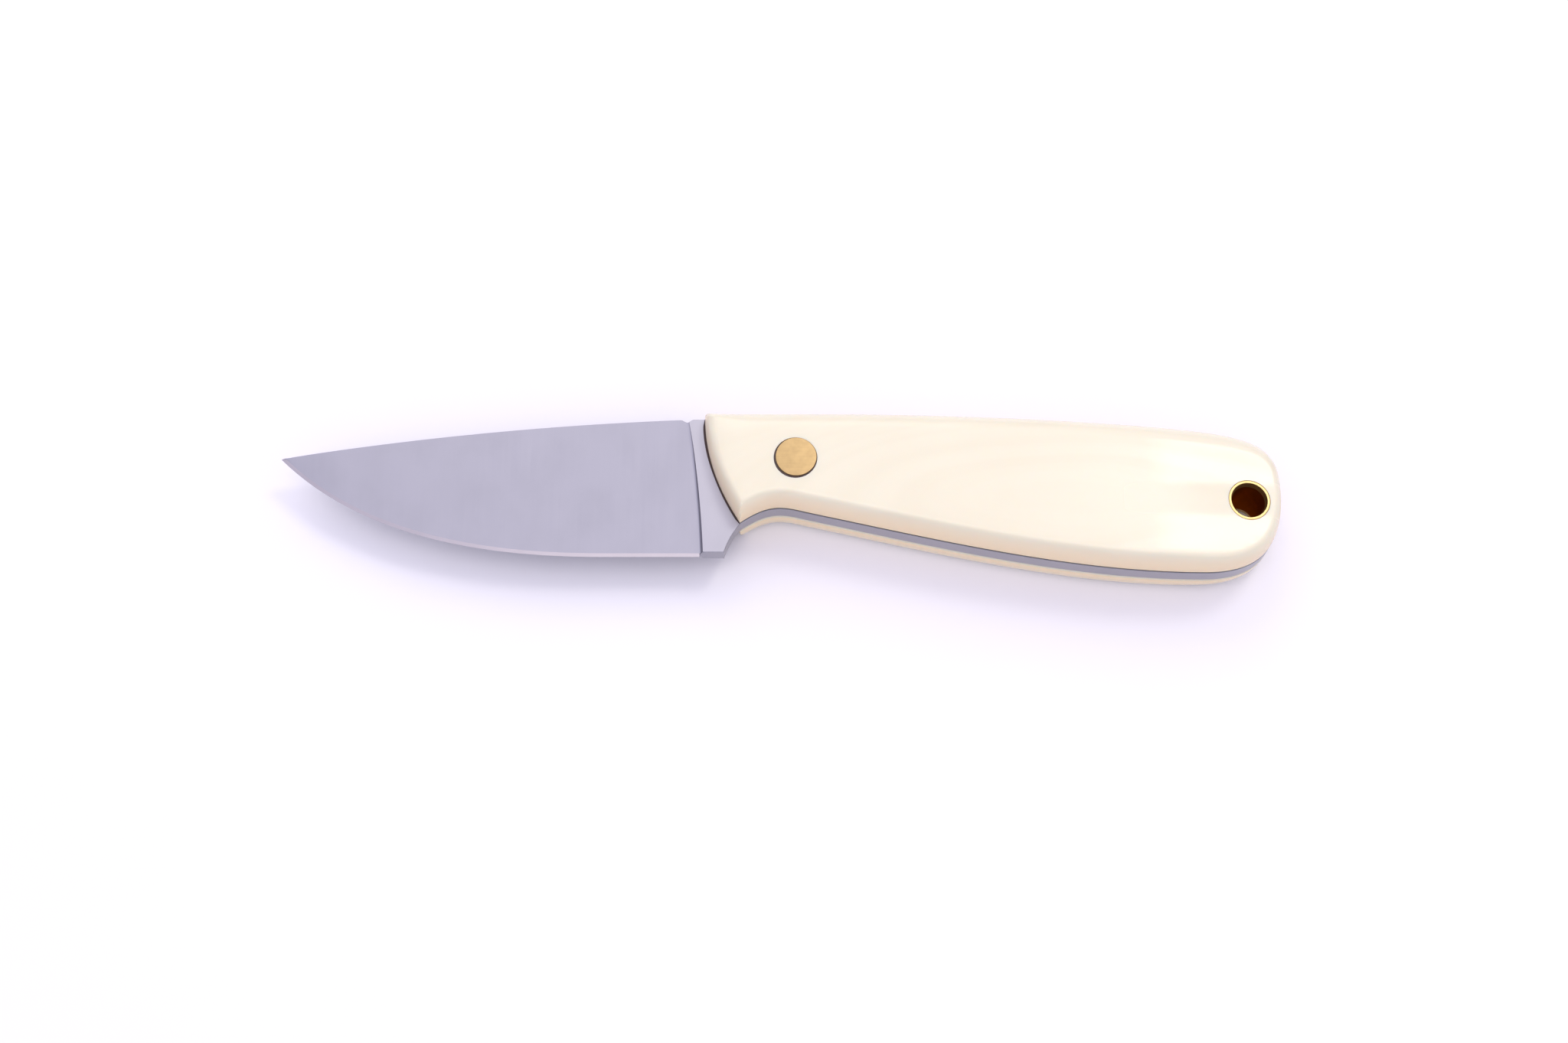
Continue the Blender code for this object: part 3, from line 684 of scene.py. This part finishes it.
def bone_figure(tree, spot, bone):
    """Growth layers of the bone, and the same layers softened by cloud and streaks.

    The layers are nested shells drawn out along the handle, so they run nearly straight in
    its middle and bend round at the butt.
    """
    heart = Vector((0.62 * HANDLE_LENGTH, 0.30 * BLADE_WIDTH, -SCALE_THICKNESS))
    from_heart = add(tree, "ShaderNodeVectorMath", {1: heart}, {0: spot}, operation="SUBTRACT")
    drawn = add(tree, "ShaderNodeVectorMath", {1: (0.30, 1.0, 1.0)},
                {0: from_heart.outputs["Vector"]}, operation="MULTIPLY")
    shell = add(tree, "ShaderNodeVectorMath", None, {0: drawn.outputs["Vector"]},
                operation="LENGTH").outputs["Value"]
    sway = lines(tree, spot, (24 * MM, 9 * MM, 9 * MM), 1.0)
    swayed = maths(tree, "MULTIPLY_ADD", sway, 1.2 * MM, shell)
    rings = add(tree, "ShaderNodeTexNoise", {"Scale": 1.0, "Detail": 1.0},
                {"W": maths(tree, "MULTIPLY", swayed, 1 / bone.layer)}, noise_dimensions="1D")
    layers = ramp(tree, rings.outputs["Fac"], 0.35, 0.7)
    streaks = lines(tree, spot, (16 * MM, 0.5 * MM, 0.5 * MM))
    cloud = lines(tree, spot, (14 * MM, 8 * MM, 8 * MM))
    fine = add(tree, "ShaderNodeMix", {"Factor": 0.2}, {"A": layers, "B": streaks})
    mixed = add(tree, "ShaderNodeMix", {"Factor": 0.65},
                {"A": fine.outputs["Result"], "B": cloud})
    return layers, mixed.outputs["Result"]


def polished_bone(bone):
    """Bone ground and buffed: warm cream, hardly any figure, a soft wax gloss.

    The growth layers show above the tube only. Where the surface turns away from straight up,
    the bone takes a warmer beige: painted shade and warm bounce light on the rounded edges.
    In line with the tube it is less buffed.
    """
    made, tree, shader, spot = new_material("buffed_bone")
    layers, mixed = bone_figure(tree, spot, bone)
    body = between(tree, mixed, bone.light, bone.deep)
    place_on = add(tree, "ShaderNodeSeparateXYZ", None, {"Vector": spot}).outputs
    near_butt = ramp(tree, place_on["X"], TUBE_CENTRE.x - FIGURE_START, TUBE_CENTRE.x - FIGURE_FULL)
    above_tube = ramp(tree, place_on["Y"], TUBE_CENTRE.y, TUBE_CENTRE.y + FIGURE_FULL)
    figure = maths(tree, "MULTIPLY", maths(tree, "MULTIPLY", near_butt, above_tube), layers)
    marked = add(tree, "ShaderNodeMix", {"B": (*[c * 0.96 for c in bone.deep], 1)},
                 {"Factor": figure, "A": body}, data_type="RGBA").outputs["Result"]
    # Painted shade: faces that turn away from straight up are tinted towards the rounded-edge
    # colour, standing in for warm bounce light and shade on the rounding
    facing = add(tree, "ShaderNodeSeparateXYZ", None,
                 {"Vector": add(tree, "ShaderNodeTexCoord").outputs["Normal"]}).outputs["Z"]
    painted_edge_shade = ramp(tree, maths(tree, "ABSOLUTE", facing), 0.62, 0.0)
    tint = add(tree, "ShaderNodeMix", {"B": (*bone.edge, 1)},
               {"Factor": painted_edge_shade, "A": marked}, data_type="RGBA").outputs["Result"]
    tree.links.new(tint, shader.inputs["Base Color"])
    off_line = maths(tree, "ABSOLUTE", maths(tree, "SUBTRACT", place_on["Y"], TUBE_CENTRE.y))
    matt = ramp(tree, off_line, 3.4 * MM, 1.6 * MM, BONE_GLOSS, RIDGE_GLOSS, smooth=True)
    gloss = add(tree, "ShaderNodeMix", {"A": BONE_GLOSS}, {"Factor": near_butt, "B": matt})
    tree.links.new(gloss.outputs["Result"], shader.inputs["Roughness"])
    shader.inputs["IOR"].default_value = 1.54
    shader.inputs["Subsurface Weight"].default_value = 0.35
    shader.inputs["Subsurface Radius"].default_value = (1.0, 0.7, 0.45)
    shader.inputs["Subsurface Scale"].default_value = 1.4 * MM
    bump = add(tree, "ShaderNodeBump", {"Distance": 0.0015 * MM}, {"Height": mixed})
    tree.links.new(bump.outputs["Normal"], shader.inputs["Normal"])
    return made


def brass_material(name, tone, rough, grain, turn):
    """Cartridge brass: rich yellow metal, with the lines that its last abrasive left."""
    made, tree, shader, spot = new_material(name)
    cut = lines(tree, spot, grain, 3.0, turn)
    cloud = lines(tree, spot, (1.2 * MM, 1.2 * MM, 1.2 * MM), 3.0)
    both = add(tree, "ShaderNodeMix", {"Factor": 0.7}, {"A": cut, "B": cloud}).outputs["Result"]
    dark = [c * 0.84 for c in tone]
    tint = between(tree, ramp(tree, both, 0.3, 0.65), dark, tone)
    tree.links.new(tint, shader.inputs["Base Color"])
    shader.inputs["Metallic"].default_value = 1.0
    shader.inputs["Roughness"].default_value = rough
    bump = add(tree, "ShaderNodeBump", {"Distance": 0.002 * MM}, {"Height": cut})
    tree.links.new(bump.outputs["Normal"], shader.inputs["Normal"])
    return made


def sanded_brass(brass):
    """Bolt heads, sanded flush with the bone: matt, with slanting paper lines."""
    return brass_material("sanded_brass", brass.sanded, 0.44,
                          (3 * MM, 0.14 * MM, 3 * MM), math.radians(25))


def burnished_brass(brass):
    """Rim of the tube, burnished by the flaring tool: a soft bright ring, no lines."""
    return brass_material("burnished_brass", brass.polished, 0.40,
                          (0.5 * MM, 0.5 * MM, 0.5 * MM), 0.0)


def tarnished_brass(brass):
    """Bore of the tube, browned by handling and polish that never reached it."""
    made = brass_material("tarnished_brass", brass.tarnished, 0.45,
                          (0.8 * MM, 0.8 * MM, 0.8 * MM), 0.0)
    shader = made.node_tree.nodes["Principled BSDF"]
    shader.inputs["Specular Tint"].default_value = (*linear("D8A070"), 1)
    return made


def cured_epoxy(glue):
    """Dark slow-set epoxy: nearly black brown, half gloss, slightly lumpy where wiped."""
    made, tree, shader, spot = new_material("cured_dark_epoxy")
    lump = lines(tree, spot, (0.6 * MM, 0.6 * MM, 0.6 * MM))
    pale = [c * 1.8 for c in glue.epoxy]
    tree.links.new(between(tree, lump, glue.epoxy, pale), shader.inputs["Base Color"])
    shader.inputs["Roughness"].default_value = 0.45
    shader.inputs["IOR"].default_value = 1.55
    bump = add(tree, "ShaderNodeBump", {"Distance": 0.02 * MM}, {"Height": lump})
    tree.links.new(bump.outputs["Normal"], shader.inputs["Normal"])
    return made


def matt_table(stage):
    """Matt white lacquered board: no gloss, a very fine mottle."""
    made, tree, shader, spot = new_material("matt_white_board")
    mottle = lines(tree, spot, (30 * MM, 30 * MM, 30 * MM))
    dim = [c * 0.985 for c in stage.floor]
    tree.links.new(between(tree, mottle, dim, stage.floor), shader.inputs["Base Color"])
    shader.inputs["Roughness"].default_value = 0.7
    return made


# ---------------------------------------------------------------- blade

GROUND, HONED, FILED, COARSE = range(4)    # finishes of the steel, in their slots


def plunge_x(share):
    """Plunge line at a share of the height from the edge (0) to the spine (1)."""
    lean = PLUNGE_FOOT + (PLUNGE_HEAD - PLUNGE_FOOT) * share
    return -lean + PLUNGE_BOW * 4 * share * (1 - share)


def grind_half_thickness(x, share, tip_x):
    """Half the thickness of the ground blade, from shoulder (0) to spine (1)."""
    along = min(1.0, (x - tip_x) / (-PLUNGE_HEAD - tip_x))
    gain = (HALF_STEEL - SPINE_RELIEF - SHOULDER_THICKNESS / 2) * along ** 0.5
    return SHOULDER_THICKNESS / 2 + gain * share


def height_at(line, x):
    """Height of a left-to-right line of points at x."""
    for a, b in zip(line, line[1:]):
        if x <= b.x:
            return a.y + (b.y - a.y) * (x - a.x) / (b.x - a.x)
    return line[-1].y


def ground_columns(bm, edge, shoulder, edge_break):
    """Columns of vertices over one ground face, tip first, from the edge to the spine."""
    tip_x = shoulder[0].x
    columns = []
    for foot, start in zip(edge, shoulder):
        along = (start.x - tip_x) / (-PLUNGE_FOOT - tip_x)
        rows = []
        for row in range(GRIND_ROWS + 1):
            share = row / GRIND_ROWS
            x = tip_x + (plunge_x(share) - tip_x) * along
            base = height_at(shoulder, x)
            top = spine_height(x)
            flat = min(edge_break, (top - base) / 4)
            y = base + (top - flat - base) * share
            rows.append(Vector((x, y, grind_half_thickness(x, share, tip_x))))
        crest = Vector((rows[-1].x, top, rows[-1].z - flat))
        column = [foot.to_3d(), foot.to_3d().lerp(rows[0], 0.5), *rows, crest,
                  Vector((crest.x, crest.y, 0))]
        columns.append([bm.verts.new(p) for p in column])
    return columns


def plunge_columns(bm, tip_x, edge_break):
    """Columns over the curved step from the ground face up to the ricasso."""
    columns = []
    for step in range(1, PLUNGE_COLUMNS + 1):
        turn = step / PLUNGE_COLUMNS
        lift = 1 - math.sqrt(1 - turn ** 2)
        foot_y = RICASSO_LIFT * turn
        base = BEVEL_WIDTH + (RICASSO_LIFT + edge_break - BEVEL_WIDTH) * turn
        rows = []
        for row in range(GRIND_ROWS + 1):
            share = row / GRIND_ROWS
            x = plunge_x(share) + PLUNGE_RISE * turn
            top = spine_height(x)
            low = grind_half_thickness(x, share, tip_x)
            y = base + (top - edge_break - base) * share
            rows.append(Vector((x, y, low + (HALF_STEEL - low) * lift)))
        foot = Vector((rows[0].x, foot_y, 0))
        heel = foot.lerp(rows[0], 0.5)
        heel = heel.lerp(Vector((foot.x, RICASSO_LIFT, HALF_STEEL - edge_break)), turn)
        crest = Vector((rows[-1].x, top, rows[-1].z - edge_break))
        column = [foot, heel, *rows, crest, Vector((crest.x, crest.y, 0))]
        columns.append([bm.verts.new(p) for p in column])
    return columns


def moved_in(line, distance):
    """An open line moved to its left by a distance, mitred at its bends."""
    moved = []
    for i, point in enumerate(line):
        before = (point - line[i - 1]).normalized() if i else None
        after = (line[i + 1] - point).normalized() if i + 1 < len(line) else None
        before, after = before or after, after or before
        left_before = Vector((-before.y, before.x))
        left_after = Vector((-after.y, after.x))
        mitre = (left_before + left_after).normalized()
        moved.append(point + mitre * distance / max(0.5, mitre.dot(left_before)))
    return moved


def tang_border(last_x):
    """Steel outline from the end of the ricasso flat, round the tang, to the plunge."""
    nick_end = -PLUNGE_HEAD + PLUNGE_RISE / 2 + NOTCH_WIDTH / 2
    spine_x = [nick_end * (1 - i / SPINE_STEPS) for i in range(SPINE_STEPS)][::-1]
    spine_x += [nick_end + (last_x - nick_end) * i / SPINE_STEPS for i in range(1, SPINE_STEPS)]
    spine = [Vector((x, spine_height(x))) for x in spine_x]
    return choil_line() + handle_line() + spine


class KNIFE_OT_blade(bpy.types.Operator):
    """Blade, ricasso and tang in one piece of steel, ground on both faces"""

    bl_idname = "knife.blade"
    bl_label = "Blade"

    def execute(self, context):
        steel = context.scene.knife_steel
        flat = steel.edge_break
        bm = bmesh.new()
        edge = edge_line()
        shoulder = shoulder_line(edge)
        ground = ground_columns(bm, edge, shoulder, flat)
        step = plunge_columns(bm, shoulder[0].x, flat)
        columns = ground + step
        for at, (left, right) in enumerate(zip(columns, columns[1:])):
            for row in range(len(left) - 1):
                face = bm.faces.new((left[row], right[row], right[row + 1], left[row + 1]))
                on_edge = row < 2
                if on_edge and at < len(ground) - 1:
                    face.material_index = HONED
                elif on_edge or row == len(left) - 2:
                    face.material_index = FILED
        bm.faces.new((ground[0][0], ground[0][1], ground[0][2], ground[0][-2], ground[0][-1]))
        last = columns[-1]
        border = tang_border(last[-1].co.x)
        inner = moved_in([last[1].co.to_2d()] + border + [last[-1].co.to_2d()], flat)[1:-1]
        face_ring = add_ring(bm, inner, HALF_STEEL)
        side_ring = add_ring(bm, border, HALF_STEEL - flat)
        base_ring = add_ring(bm, border, 0.0)
        ricasso = bm.faces.new([last[2]] + face_ring + last[-3:2:-1])
        ricasso.material_index = COARSE
        chains = ([last[2]] + face_ring + [last[-3]], [last[1]] + side_ring + [last[-2]],
                  [last[0]] + base_ring + [last[-1]])
        for upper, lower in zip(chains, chains[1:]):
            for i in range(len(upper) - 1):
                face = bm.faces.new((upper[i], upper[i + 1], lower[i + 1], lower[i]))
                face.material_index = FILED
        bmesh.ops.remove_doubles(bm, verts=bm.verts, dist=MERGE_DISTANCE)
        other = bmesh.ops.duplicate(bm, geom=bm.verts[:] + bm.edges[:] + bm.faces[:])
        turned_over = [g for g in other["geom"] if isinstance(g, bmesh.types.BMVert)]
        bmesh.ops.scale(bm, vec=(1, 1, -1), verts=turned_over)
        bmesh.ops.remove_doubles(bm, verts=bm.verts, dist=MERGE_DISTANCE)
        bits = [drill_bit("barrel_bit", BOLT_CENTRE, BARREL_DIAMETER / 2 + CLEARANCE),
                drill_bit("tube_bit", TUBE_CENTRE, TUBE_RADIUS + CLEARANCE)]
        finishes = {GROUND: belt_ground_steel(steel), HONED: honed_steel(steel),
                    FILED: draw_filed_steel(steel), COARSE: ricasso_steel(steel)}
        fit(place(bm, "ground_blade", finishes.values(), bits), "blade")
        drop(bits)
        return {"FINISHED"}


# ---------------------------------------------------------------- scales

def scale_mesh(side, outline, bone):
    """One scale on its seat: upright edge, rounding and a domed crown, thinned at both ends.

    The flat top is first cut into a grid, then every point is lifted to its height.
    """
    bm = bmesh.new()
    rubbed = inset_outline(outline, bone.edge_break)
    rings = [add_ring(bm, rubbed, 0.0), add_ring(bm, outline, bone.edge_break),
             add_ring(bm, outline, SCALE_WALL / 2)]
    for step in range(ROUND_RINGS + 1):
        turn = step / ROUND_RINGS * math.pi / 2
        inset = inset_outline(outline, round_widths(outline) * (1 - math.cos(turn)))
        rings.append(add_ring(bm, inset, SCALE_WALL))
    for lower, upper in zip(rings, rings[1:]):
        bridge(bm, lower, upper)
    bm.faces.new(rings[0][::-1])
    top = [bm.faces.new(rings[-1])]
    for normal, low, high in (((1, 0, 0), 0.0, HANDLE_LENGTH),
                              ((0, 1, 0), -SWELL_DROP, BLADE_WIDTH)):
        for i in range(1, int((high - low) / CROWN_GRID)):
            spot = Vector(normal) * (low + i * CROWN_GRID)
            borders = [part for face in top for part in (*face.verts, *face.edges)]
            cut = bmesh.ops.bisect_plane(bm, geom=list(dict.fromkeys(top + borders)),
                                         dist=MERGE_DISTANCE, plane_co=spot, plane_no=normal)
            top = [part for part in cut["geom"] if isinstance(part, bmesh.types.BMFace)]
    plan = np.array([v.co[:2] for v in bm.verts])
    top_heights = crown(plan, outline, bone)
    wall = set(rings[0] + rings[1] + rings[2])
    for vert, height in zip(bm.verts, top_heights):
        share = vert.co.z / SCALE_WALL if vert in wall else 1.0
        vert.co.z = side * (SEAT + height * share)
    return bm


class KNIFE_OT_scales(bpy.types.Operator):
    """Two bone scales, rounded and domed, bored for the bolt and the lanyard tube"""

    bl_idname = "knife.scales"
    bl_label = "Scales"

    def execute(self, context):
        bone = context.scene.knife_bone
        glue = context.scene.knife_glue
        outline = array(scale_outline())
        finish = polished_bone(bone)
        hole = BOLT_CENTRE + heading(GLUE_CRESCENT_DEG, glue.offset)
        bits = [drill_bit("head_bit", hole, BOLT_RADIUS + glue.ring),
                drill_bit("tube_bit", TUBE_CENTRE, TUBE_RADIUS + glue.tube_ring)]
        for name, side in (("front_scale", 1), ("back_scale", -1)):
            piece = place(scale_mesh(side, outline, bone), name.replace("_", "_bone_"),
                          [finish], bits)
            fit(piece, name)
        drop(bits)
        return {"FINISHED"}


# ---------------------------------------------------------------- glue

def film_mesh(side, recess):
    """Film of epoxy that fills the seam between the steel and one scale."""
    outline = inset_outline(array(scale_outline()), recess)
    bm = bmesh.new()
    lower = add_ring(bm, outline, side * (HALF_STEEL + GLUE_SKIN))
    upper = add_ring(bm, outline, side * (SEAT - GLUE_SKIN))
    bridge(bm, lower, upper)
    bm.faces.new(lower[::-1])
    bm.faces.new(upper)
    return bm


def bead_mesh(side, width):
    """Wiped bead of epoxy in the corner between the ricasso and the front of a scale.

    It is widest near the spine and thins out towards the finger groove.
    """
    line = [top_front_point()] + scale_front() + [corner_point()]
    bm = bmesh.new()
    rings = []
    for i, point in enumerate(line):
        along = line[min(i + 1, len(line) - 1)] - line[max(i - 1, 0)]
        out = Vector((along.y, -along.x)).normalized()
        share = i / (len(line) - 1)
        reach = width * (BEAD_WIDEST - BEAD_THINNING * share)
        reach *= 1 + BEAD_WAVE * math.sin(BEAD_WAVES * share)
        reach *= min(1.0, BEAD_GROWTH * min(share, 1 - share) + BEAD_END)
        ring = []
        for outward, upward in BEAD_PROFILE:
            spot = point + out * reach * outward
            z = HALF_STEEL + GLUE_SKIN + reach * upward
            ring.append(bm.verts.new((spot.x, spot.y, side * z)))
        rings.append(ring)
    for lower, upper in zip(rings, rings[1:]):
        bridge(bm, lower, upper)
    bm.faces.new(rings[0])
    bm.faces.new(rings[-1][::-1])
    return bm


def glue_ring(side, centre, radius, gap, offset, outline, bone):
    """Epoxy standing in the gap round a brass end, just below the bone's surface."""
    outer = radius + gap
    ring = turned([(radius, 1), (radius, 0), (outer, 0), (outer, 1)], centre)
    tops = crown(np.array([v.co[:2] for v in ring.verts]), outline, bone)
    slip = heading(GLUE_CRESCENT_DEG, offset)
    for vert, top in zip(ring.verts, tops):
        sunk = GLUE_SINK if vert.co.z > 0.5 else GLUE_DEPTH
        vert.co.z = side * (SEAT + top - sunk)
        # Partly painted shadow: the outer wall is shifted so the dark glue widens into a crescent on
        # the edge side of the bolt's head
        if (vert.co.to_2d() - centre).length > radius + gap / 2:
            vert.co.xy += slip
    return ring


class KNIFE_OT_glue(bpy.types.Operator):
    """Dark epoxy in the seams, along the front of the scales and round the brass"""

    bl_idname = "knife.glue"
    bl_label = "Glue lines"

    def execute(self, context):
        glue = context.scene.knife_glue
        bone = context.scene.knife_bone
        epoxy = cured_epoxy(glue)
        outline = array(scale_outline())
        bits = [drill_bit("barrel_bit", BOLT_CENTRE, BARREL_DIAMETER / 2 + CLEARANCE),
                drill_bit("tube_bit", TUBE_CENTRE, TUBE_RADIUS + glue.tube_ring)]
        for name, side in (("front", 1), ("back", -1)):
            film = place(film_mesh(side, glue.recess), f"{name}_glue_line", [epoxy], bits)
            fit(film, f"{name}_bond_film")
            fit(place(bead_mesh(side, glue.bead), f"{name}_glue_bead", [epoxy]), None)
            for ring_name, centre, radius, gap, offset in (
                    ("bolt", BOLT_CENTRE, BOLT_RADIUS, glue.ring, glue.offset),
                    ("tube", TUBE_CENTRE, TUBE_RADIUS, glue.tube_ring, 0.0)):
                ring = glue_ring(side, centre, radius, gap, offset, outline, bone)
                fit(place(ring, f"{name}_{ring_name}_glue_ring", [epoxy]), None)
        drop(bits)
        return {"FINISHED"}


# ---------------------------------------------------------------- brass

def rounded_rim(radius, z, inward, downward, rim):
    """Quarter-round corner of a profile, from the side of a rim over to its top."""
    points = []
    for i in range(RIM_STEPS + 1):
        turn = i / RIM_STEPS * math.pi / 2
        points.append((radius + inward * rim * (1 - math.cos(turn)),
                       z + downward * rim * (1 - math.sin(turn))))
    return points


class KNIFE_OT_bolt(bpy.types.Operator):
    """Two-part brass bolt: sleeve with the front head, screw with the back head"""

    bl_idname = "knife.bolt"
    bl_label = "Bolt"

    def execute(self, context):
        brass = context.scene.knife_brass
        finish = sanded_brass(brass)
        under = BOLT_TOP + HEAD_SINK - BOLT_HEAD_DEPTH
        bore = SCREW_DIAMETER / 2 + CLEARANCE
        end = -SEAT - BARREL_PAST_TANG
        barrel = BARREL_DIAMETER / 2
        top_rim = rounded_rim(BOLT_RADIUS, BOLT_TOP, -1, -1, brass.rim)
        sleeve = [(0, BOLT_TOP), *top_rim[::-1], (BOLT_RADIUS, under), (barrel, under),
                  (barrel, end), (bore, end), (bore, BOLT_TOP - BOLT_CAP), (0, BOLT_TOP - BOLT_CAP)]
        fit(place(turned(sleeve, BOLT_CENTRE), "bolt_sleeve_brass", [finish]),
            "bolt_sleeve")
        crest = SCREW_DIAMETER / 2
        root = crest - THREAD_DEPTH
        thread_end = BOLT_TOP - BOLT_CAP - CLEARANCE
        low_rim = rounded_rim(BOLT_RADIUS, -BOLT_TOP, -1, 1, brass.rim)
        screw = [(0, -BOLT_TOP), *low_rim[::-1], (BOLT_RADIUS, -under), (root, -under)]
        for turn in range(int((thread_end + SEAT) / THREAD_PITCH)):
            base = -SEAT + turn * THREAD_PITCH
            screw += [(root, base), (crest, base + THREAD_PITCH / 2)]
        screw += [(root, thread_end), (0, thread_end)]
        fit(place(turned(screw, BOLT_CENTRE), "bolt_screw_brass", [finish]),
            "bolt_screw")
        return {"FINISHED"}


class KNIFE_OT_tube(bpy.types.Operator):
    """Brass lanyard tube, its rims burnished over and ground to the slope of the bone"""

    bl_idname = "knife.tube"
    bl_label = "Lanyard tube"

    def execute(self, context):
        brass = context.scene.knife_brass
        bone = context.scene.knife_bone
        inner = TUBE_RADIUS - TUBE_WALL
        rim = brass.rim
        top = [*rounded_rim(TUBE_RADIUS, 1, -1, -1, rim), *rounded_rim(inner, 1, 1, -1, rim)[::-1]]
        bore = [(inner - TUBE_FLARE * smooth_step(d / FLARE_SHARE), 1 - d)
                for d in (i / BORE_RINGS for i in range(1, BORE_RINGS))]
        profile = top + bore
        profile += [(r, -z) for r, z in profile[::-1]]
        bm = turned(profile, TUBE_CENTRE)
        spots = np.array([v.co[:2] for v in bm.verts])
        tops = SEAT + crown(spots, array(scale_outline()), bone)
        for vert, height in zip(bm.verts, tops):
            below = 1 - abs(vert.co.z)
            depth = below if below <= rim else rim + (below - rim) * height / (1 - rim)
            vert.co.z = math.copysign(min(height - depth, height), vert.co.z)
        piece = place(bm, "lanyard_tube_brass", [burnished_brass(brass), tarnished_brass(brass)])
        for face in piece.data.polygons:
            middle = face.center.to_2d() - TUBE_CENTRE
            deep = abs(face.center.z) < SEAT + SCALE_THICKNESS * TARNISH_SHARE
            inside = middle.length < inner + MERGE_DISTANCE
            face.material_index = 1 if inside and deep else 0
        fit(piece, "lanyard_tube")
        return {"FINISHED"}


# ---------------------------------------------------------------- stage

def add_lamp(name, azimuth, elevation, width, power, tone, aim):
    """Square soft lamp seen from the aim at an azimuth from +X and an elevation, in degrees."""
    data = bpy.data.lights.new(name, "AREA")
    data.shape = "SQUARE"
    data.size = width
    data.energy = power
    data.color = tone
    lamp = bpy.data.objects.new(name, data)
    turn, rise = math.radians(azimuth), math.radians(elevation)
    way = Vector((math.cos(turn) * math.cos(rise), math.sin(turn) * math.cos(rise),
                  math.sin(rise)))
    lamp.location = aim + way * LAMP_DISTANCE
    lamp.rotation_euler = way.to_track_quat("Z", "Y").to_euler()
    bpy.context.scene.collection.objects.link(lamp)


def lay_table(stage, middle):
    """Board under the knife, far wider than the view."""
    bm = bmesh.new()
    bmesh.ops.create_grid(bm, x_segments=8, y_segments=8, size=FLOOR_HALF)
    mesh = bpy.data.meshes.new("table")
    bm.to_mesh(mesh)
    bm.free()
    mesh.materials.append(matt_table(stage))
    table = bpy.data.objects.new("table", mesh)
    table.location = (middle.x, middle.y, CAD_BOX[0].z)
    bpy.context.scene.collection.objects.link(table)


def light_room(stage):
    """Pale room, dim towards the walls and bright overhead."""
    world = bpy.data.worlds.new("room")
    bpy.context.scene.world = world
    world.use_nodes = True
    tree = world.node_tree
    sky = tree.nodes["Background"]
    sky.inputs["Color"].default_value = (*stage.sky, 1)
    way = add(tree, "ShaderNodeTexCoord").outputs["Generated"]
    height = add(tree, "ShaderNodeSeparateXYZ", None, {"Vector": way}).outputs["Z"]
    tree.links.new(ramp(tree, height, 0.10, 0.62, 0.42, 1.12), sky.inputs["Strength"])


def set_camera(stage, middle):
    """Camera in front of the edge, tilted away from straight above."""
    camera = bpy.data.cameras.new("camera")
    camera.sensor_width = SENSOR_WIDTH
    camera.lens = SENSOR_WIDTH * stage.distance / stage.width
    camera.clip_start = 1 * MM
    eye = bpy.data.objects.new("camera", camera)
    aim = middle + AIM_OFFSET
    eye.location = aim + Matrix.Rotation(stage.tilt, 3, "X") @ Vector((0, 0, stage.distance))
    eye.rotation_euler = (stage.tilt, 0, 0)
    bpy.context.scene.collection.objects.link(eye)
    bpy.context.scene.camera = eye


class KNIFE_OT_stage(bpy.types.Operator):
    """White table, pale room, three soft lamps and the camera"""

    bl_idname = "knife.stage"
    bl_label = "Stage"

    def execute(self, context):
        stage = context.scene.knife_stage
        middle = (CAD_BOX[0] + CAD_BOX[1]) / 2
        lay_table(stage, middle)
        light_room(stage)
        add_lamp("back_lamp", 102, 46, 0.5, 1.1, stage.lamp, middle)
        add_lamp("top_lamp", 262, 78, 0.5, 1.0, stage.lamp, middle)
        add_lamp("right_lamp", 43, 59, 0.20, 1.2, stage.lamp, middle)
        set_camera(stage, middle)
        context.scene.view_settings.view_transform = "Standard"
        return {"FINISHED"}


class KNIFE_PT_panel(bpy.types.Panel):
    """Steps of the knife, in the order they are made"""

    bl_idname = "KNIFE_PT_panel"
    bl_label = "Craft knife"
    bl_space_type = "VIEW_3D"
    bl_region_type = "UI"
    bl_category = "Knife"

    def draw(self, context):
        for name, group in SETTINGS.items():
            box = self.layout.box()
            for prop in group.__annotations__:
                box.prop(getattr(context.scene, name), prop)
        for step in STEPS:
            self.layout.operator(step.bl_idname)


SETTINGS = {
    "knife_steel": SteelSettings,
    "knife_bone": BoneSettings,
    "knife_glue": GlueSettings,
    "knife_brass": BrassSettings,
    "knife_stage": StageSettings,
}
STEPS = [KNIFE_OT_stage, KNIFE_OT_blade, KNIFE_OT_scales, KNIFE_OT_glue, KNIFE_OT_bolt,
         KNIFE_OT_tube]


def register():
    for group in (*SETTINGS.values(), *STEPS, KNIFE_PT_panel):
        bpy.utils.register_class(group)
    for name, group in SETTINGS.items():
        setattr(bpy.types.Scene, name, PointerProperty(type=group))


def unregister():
    for name in SETTINGS:
        delattr(bpy.types.Scene, name)
    for group in (KNIFE_PT_panel, *STEPS[::-1], *reversed(SETTINGS.values())):
        bpy.utils.unregister_class(group)


def main():
    register()
    for step in STEPS:
        group, name = step.bl_idname.split(".")
        getattr(getattr(bpy.ops, group), name)()
    bpy.context.view_layer.update()


if __name__ == "__main__":
    main()
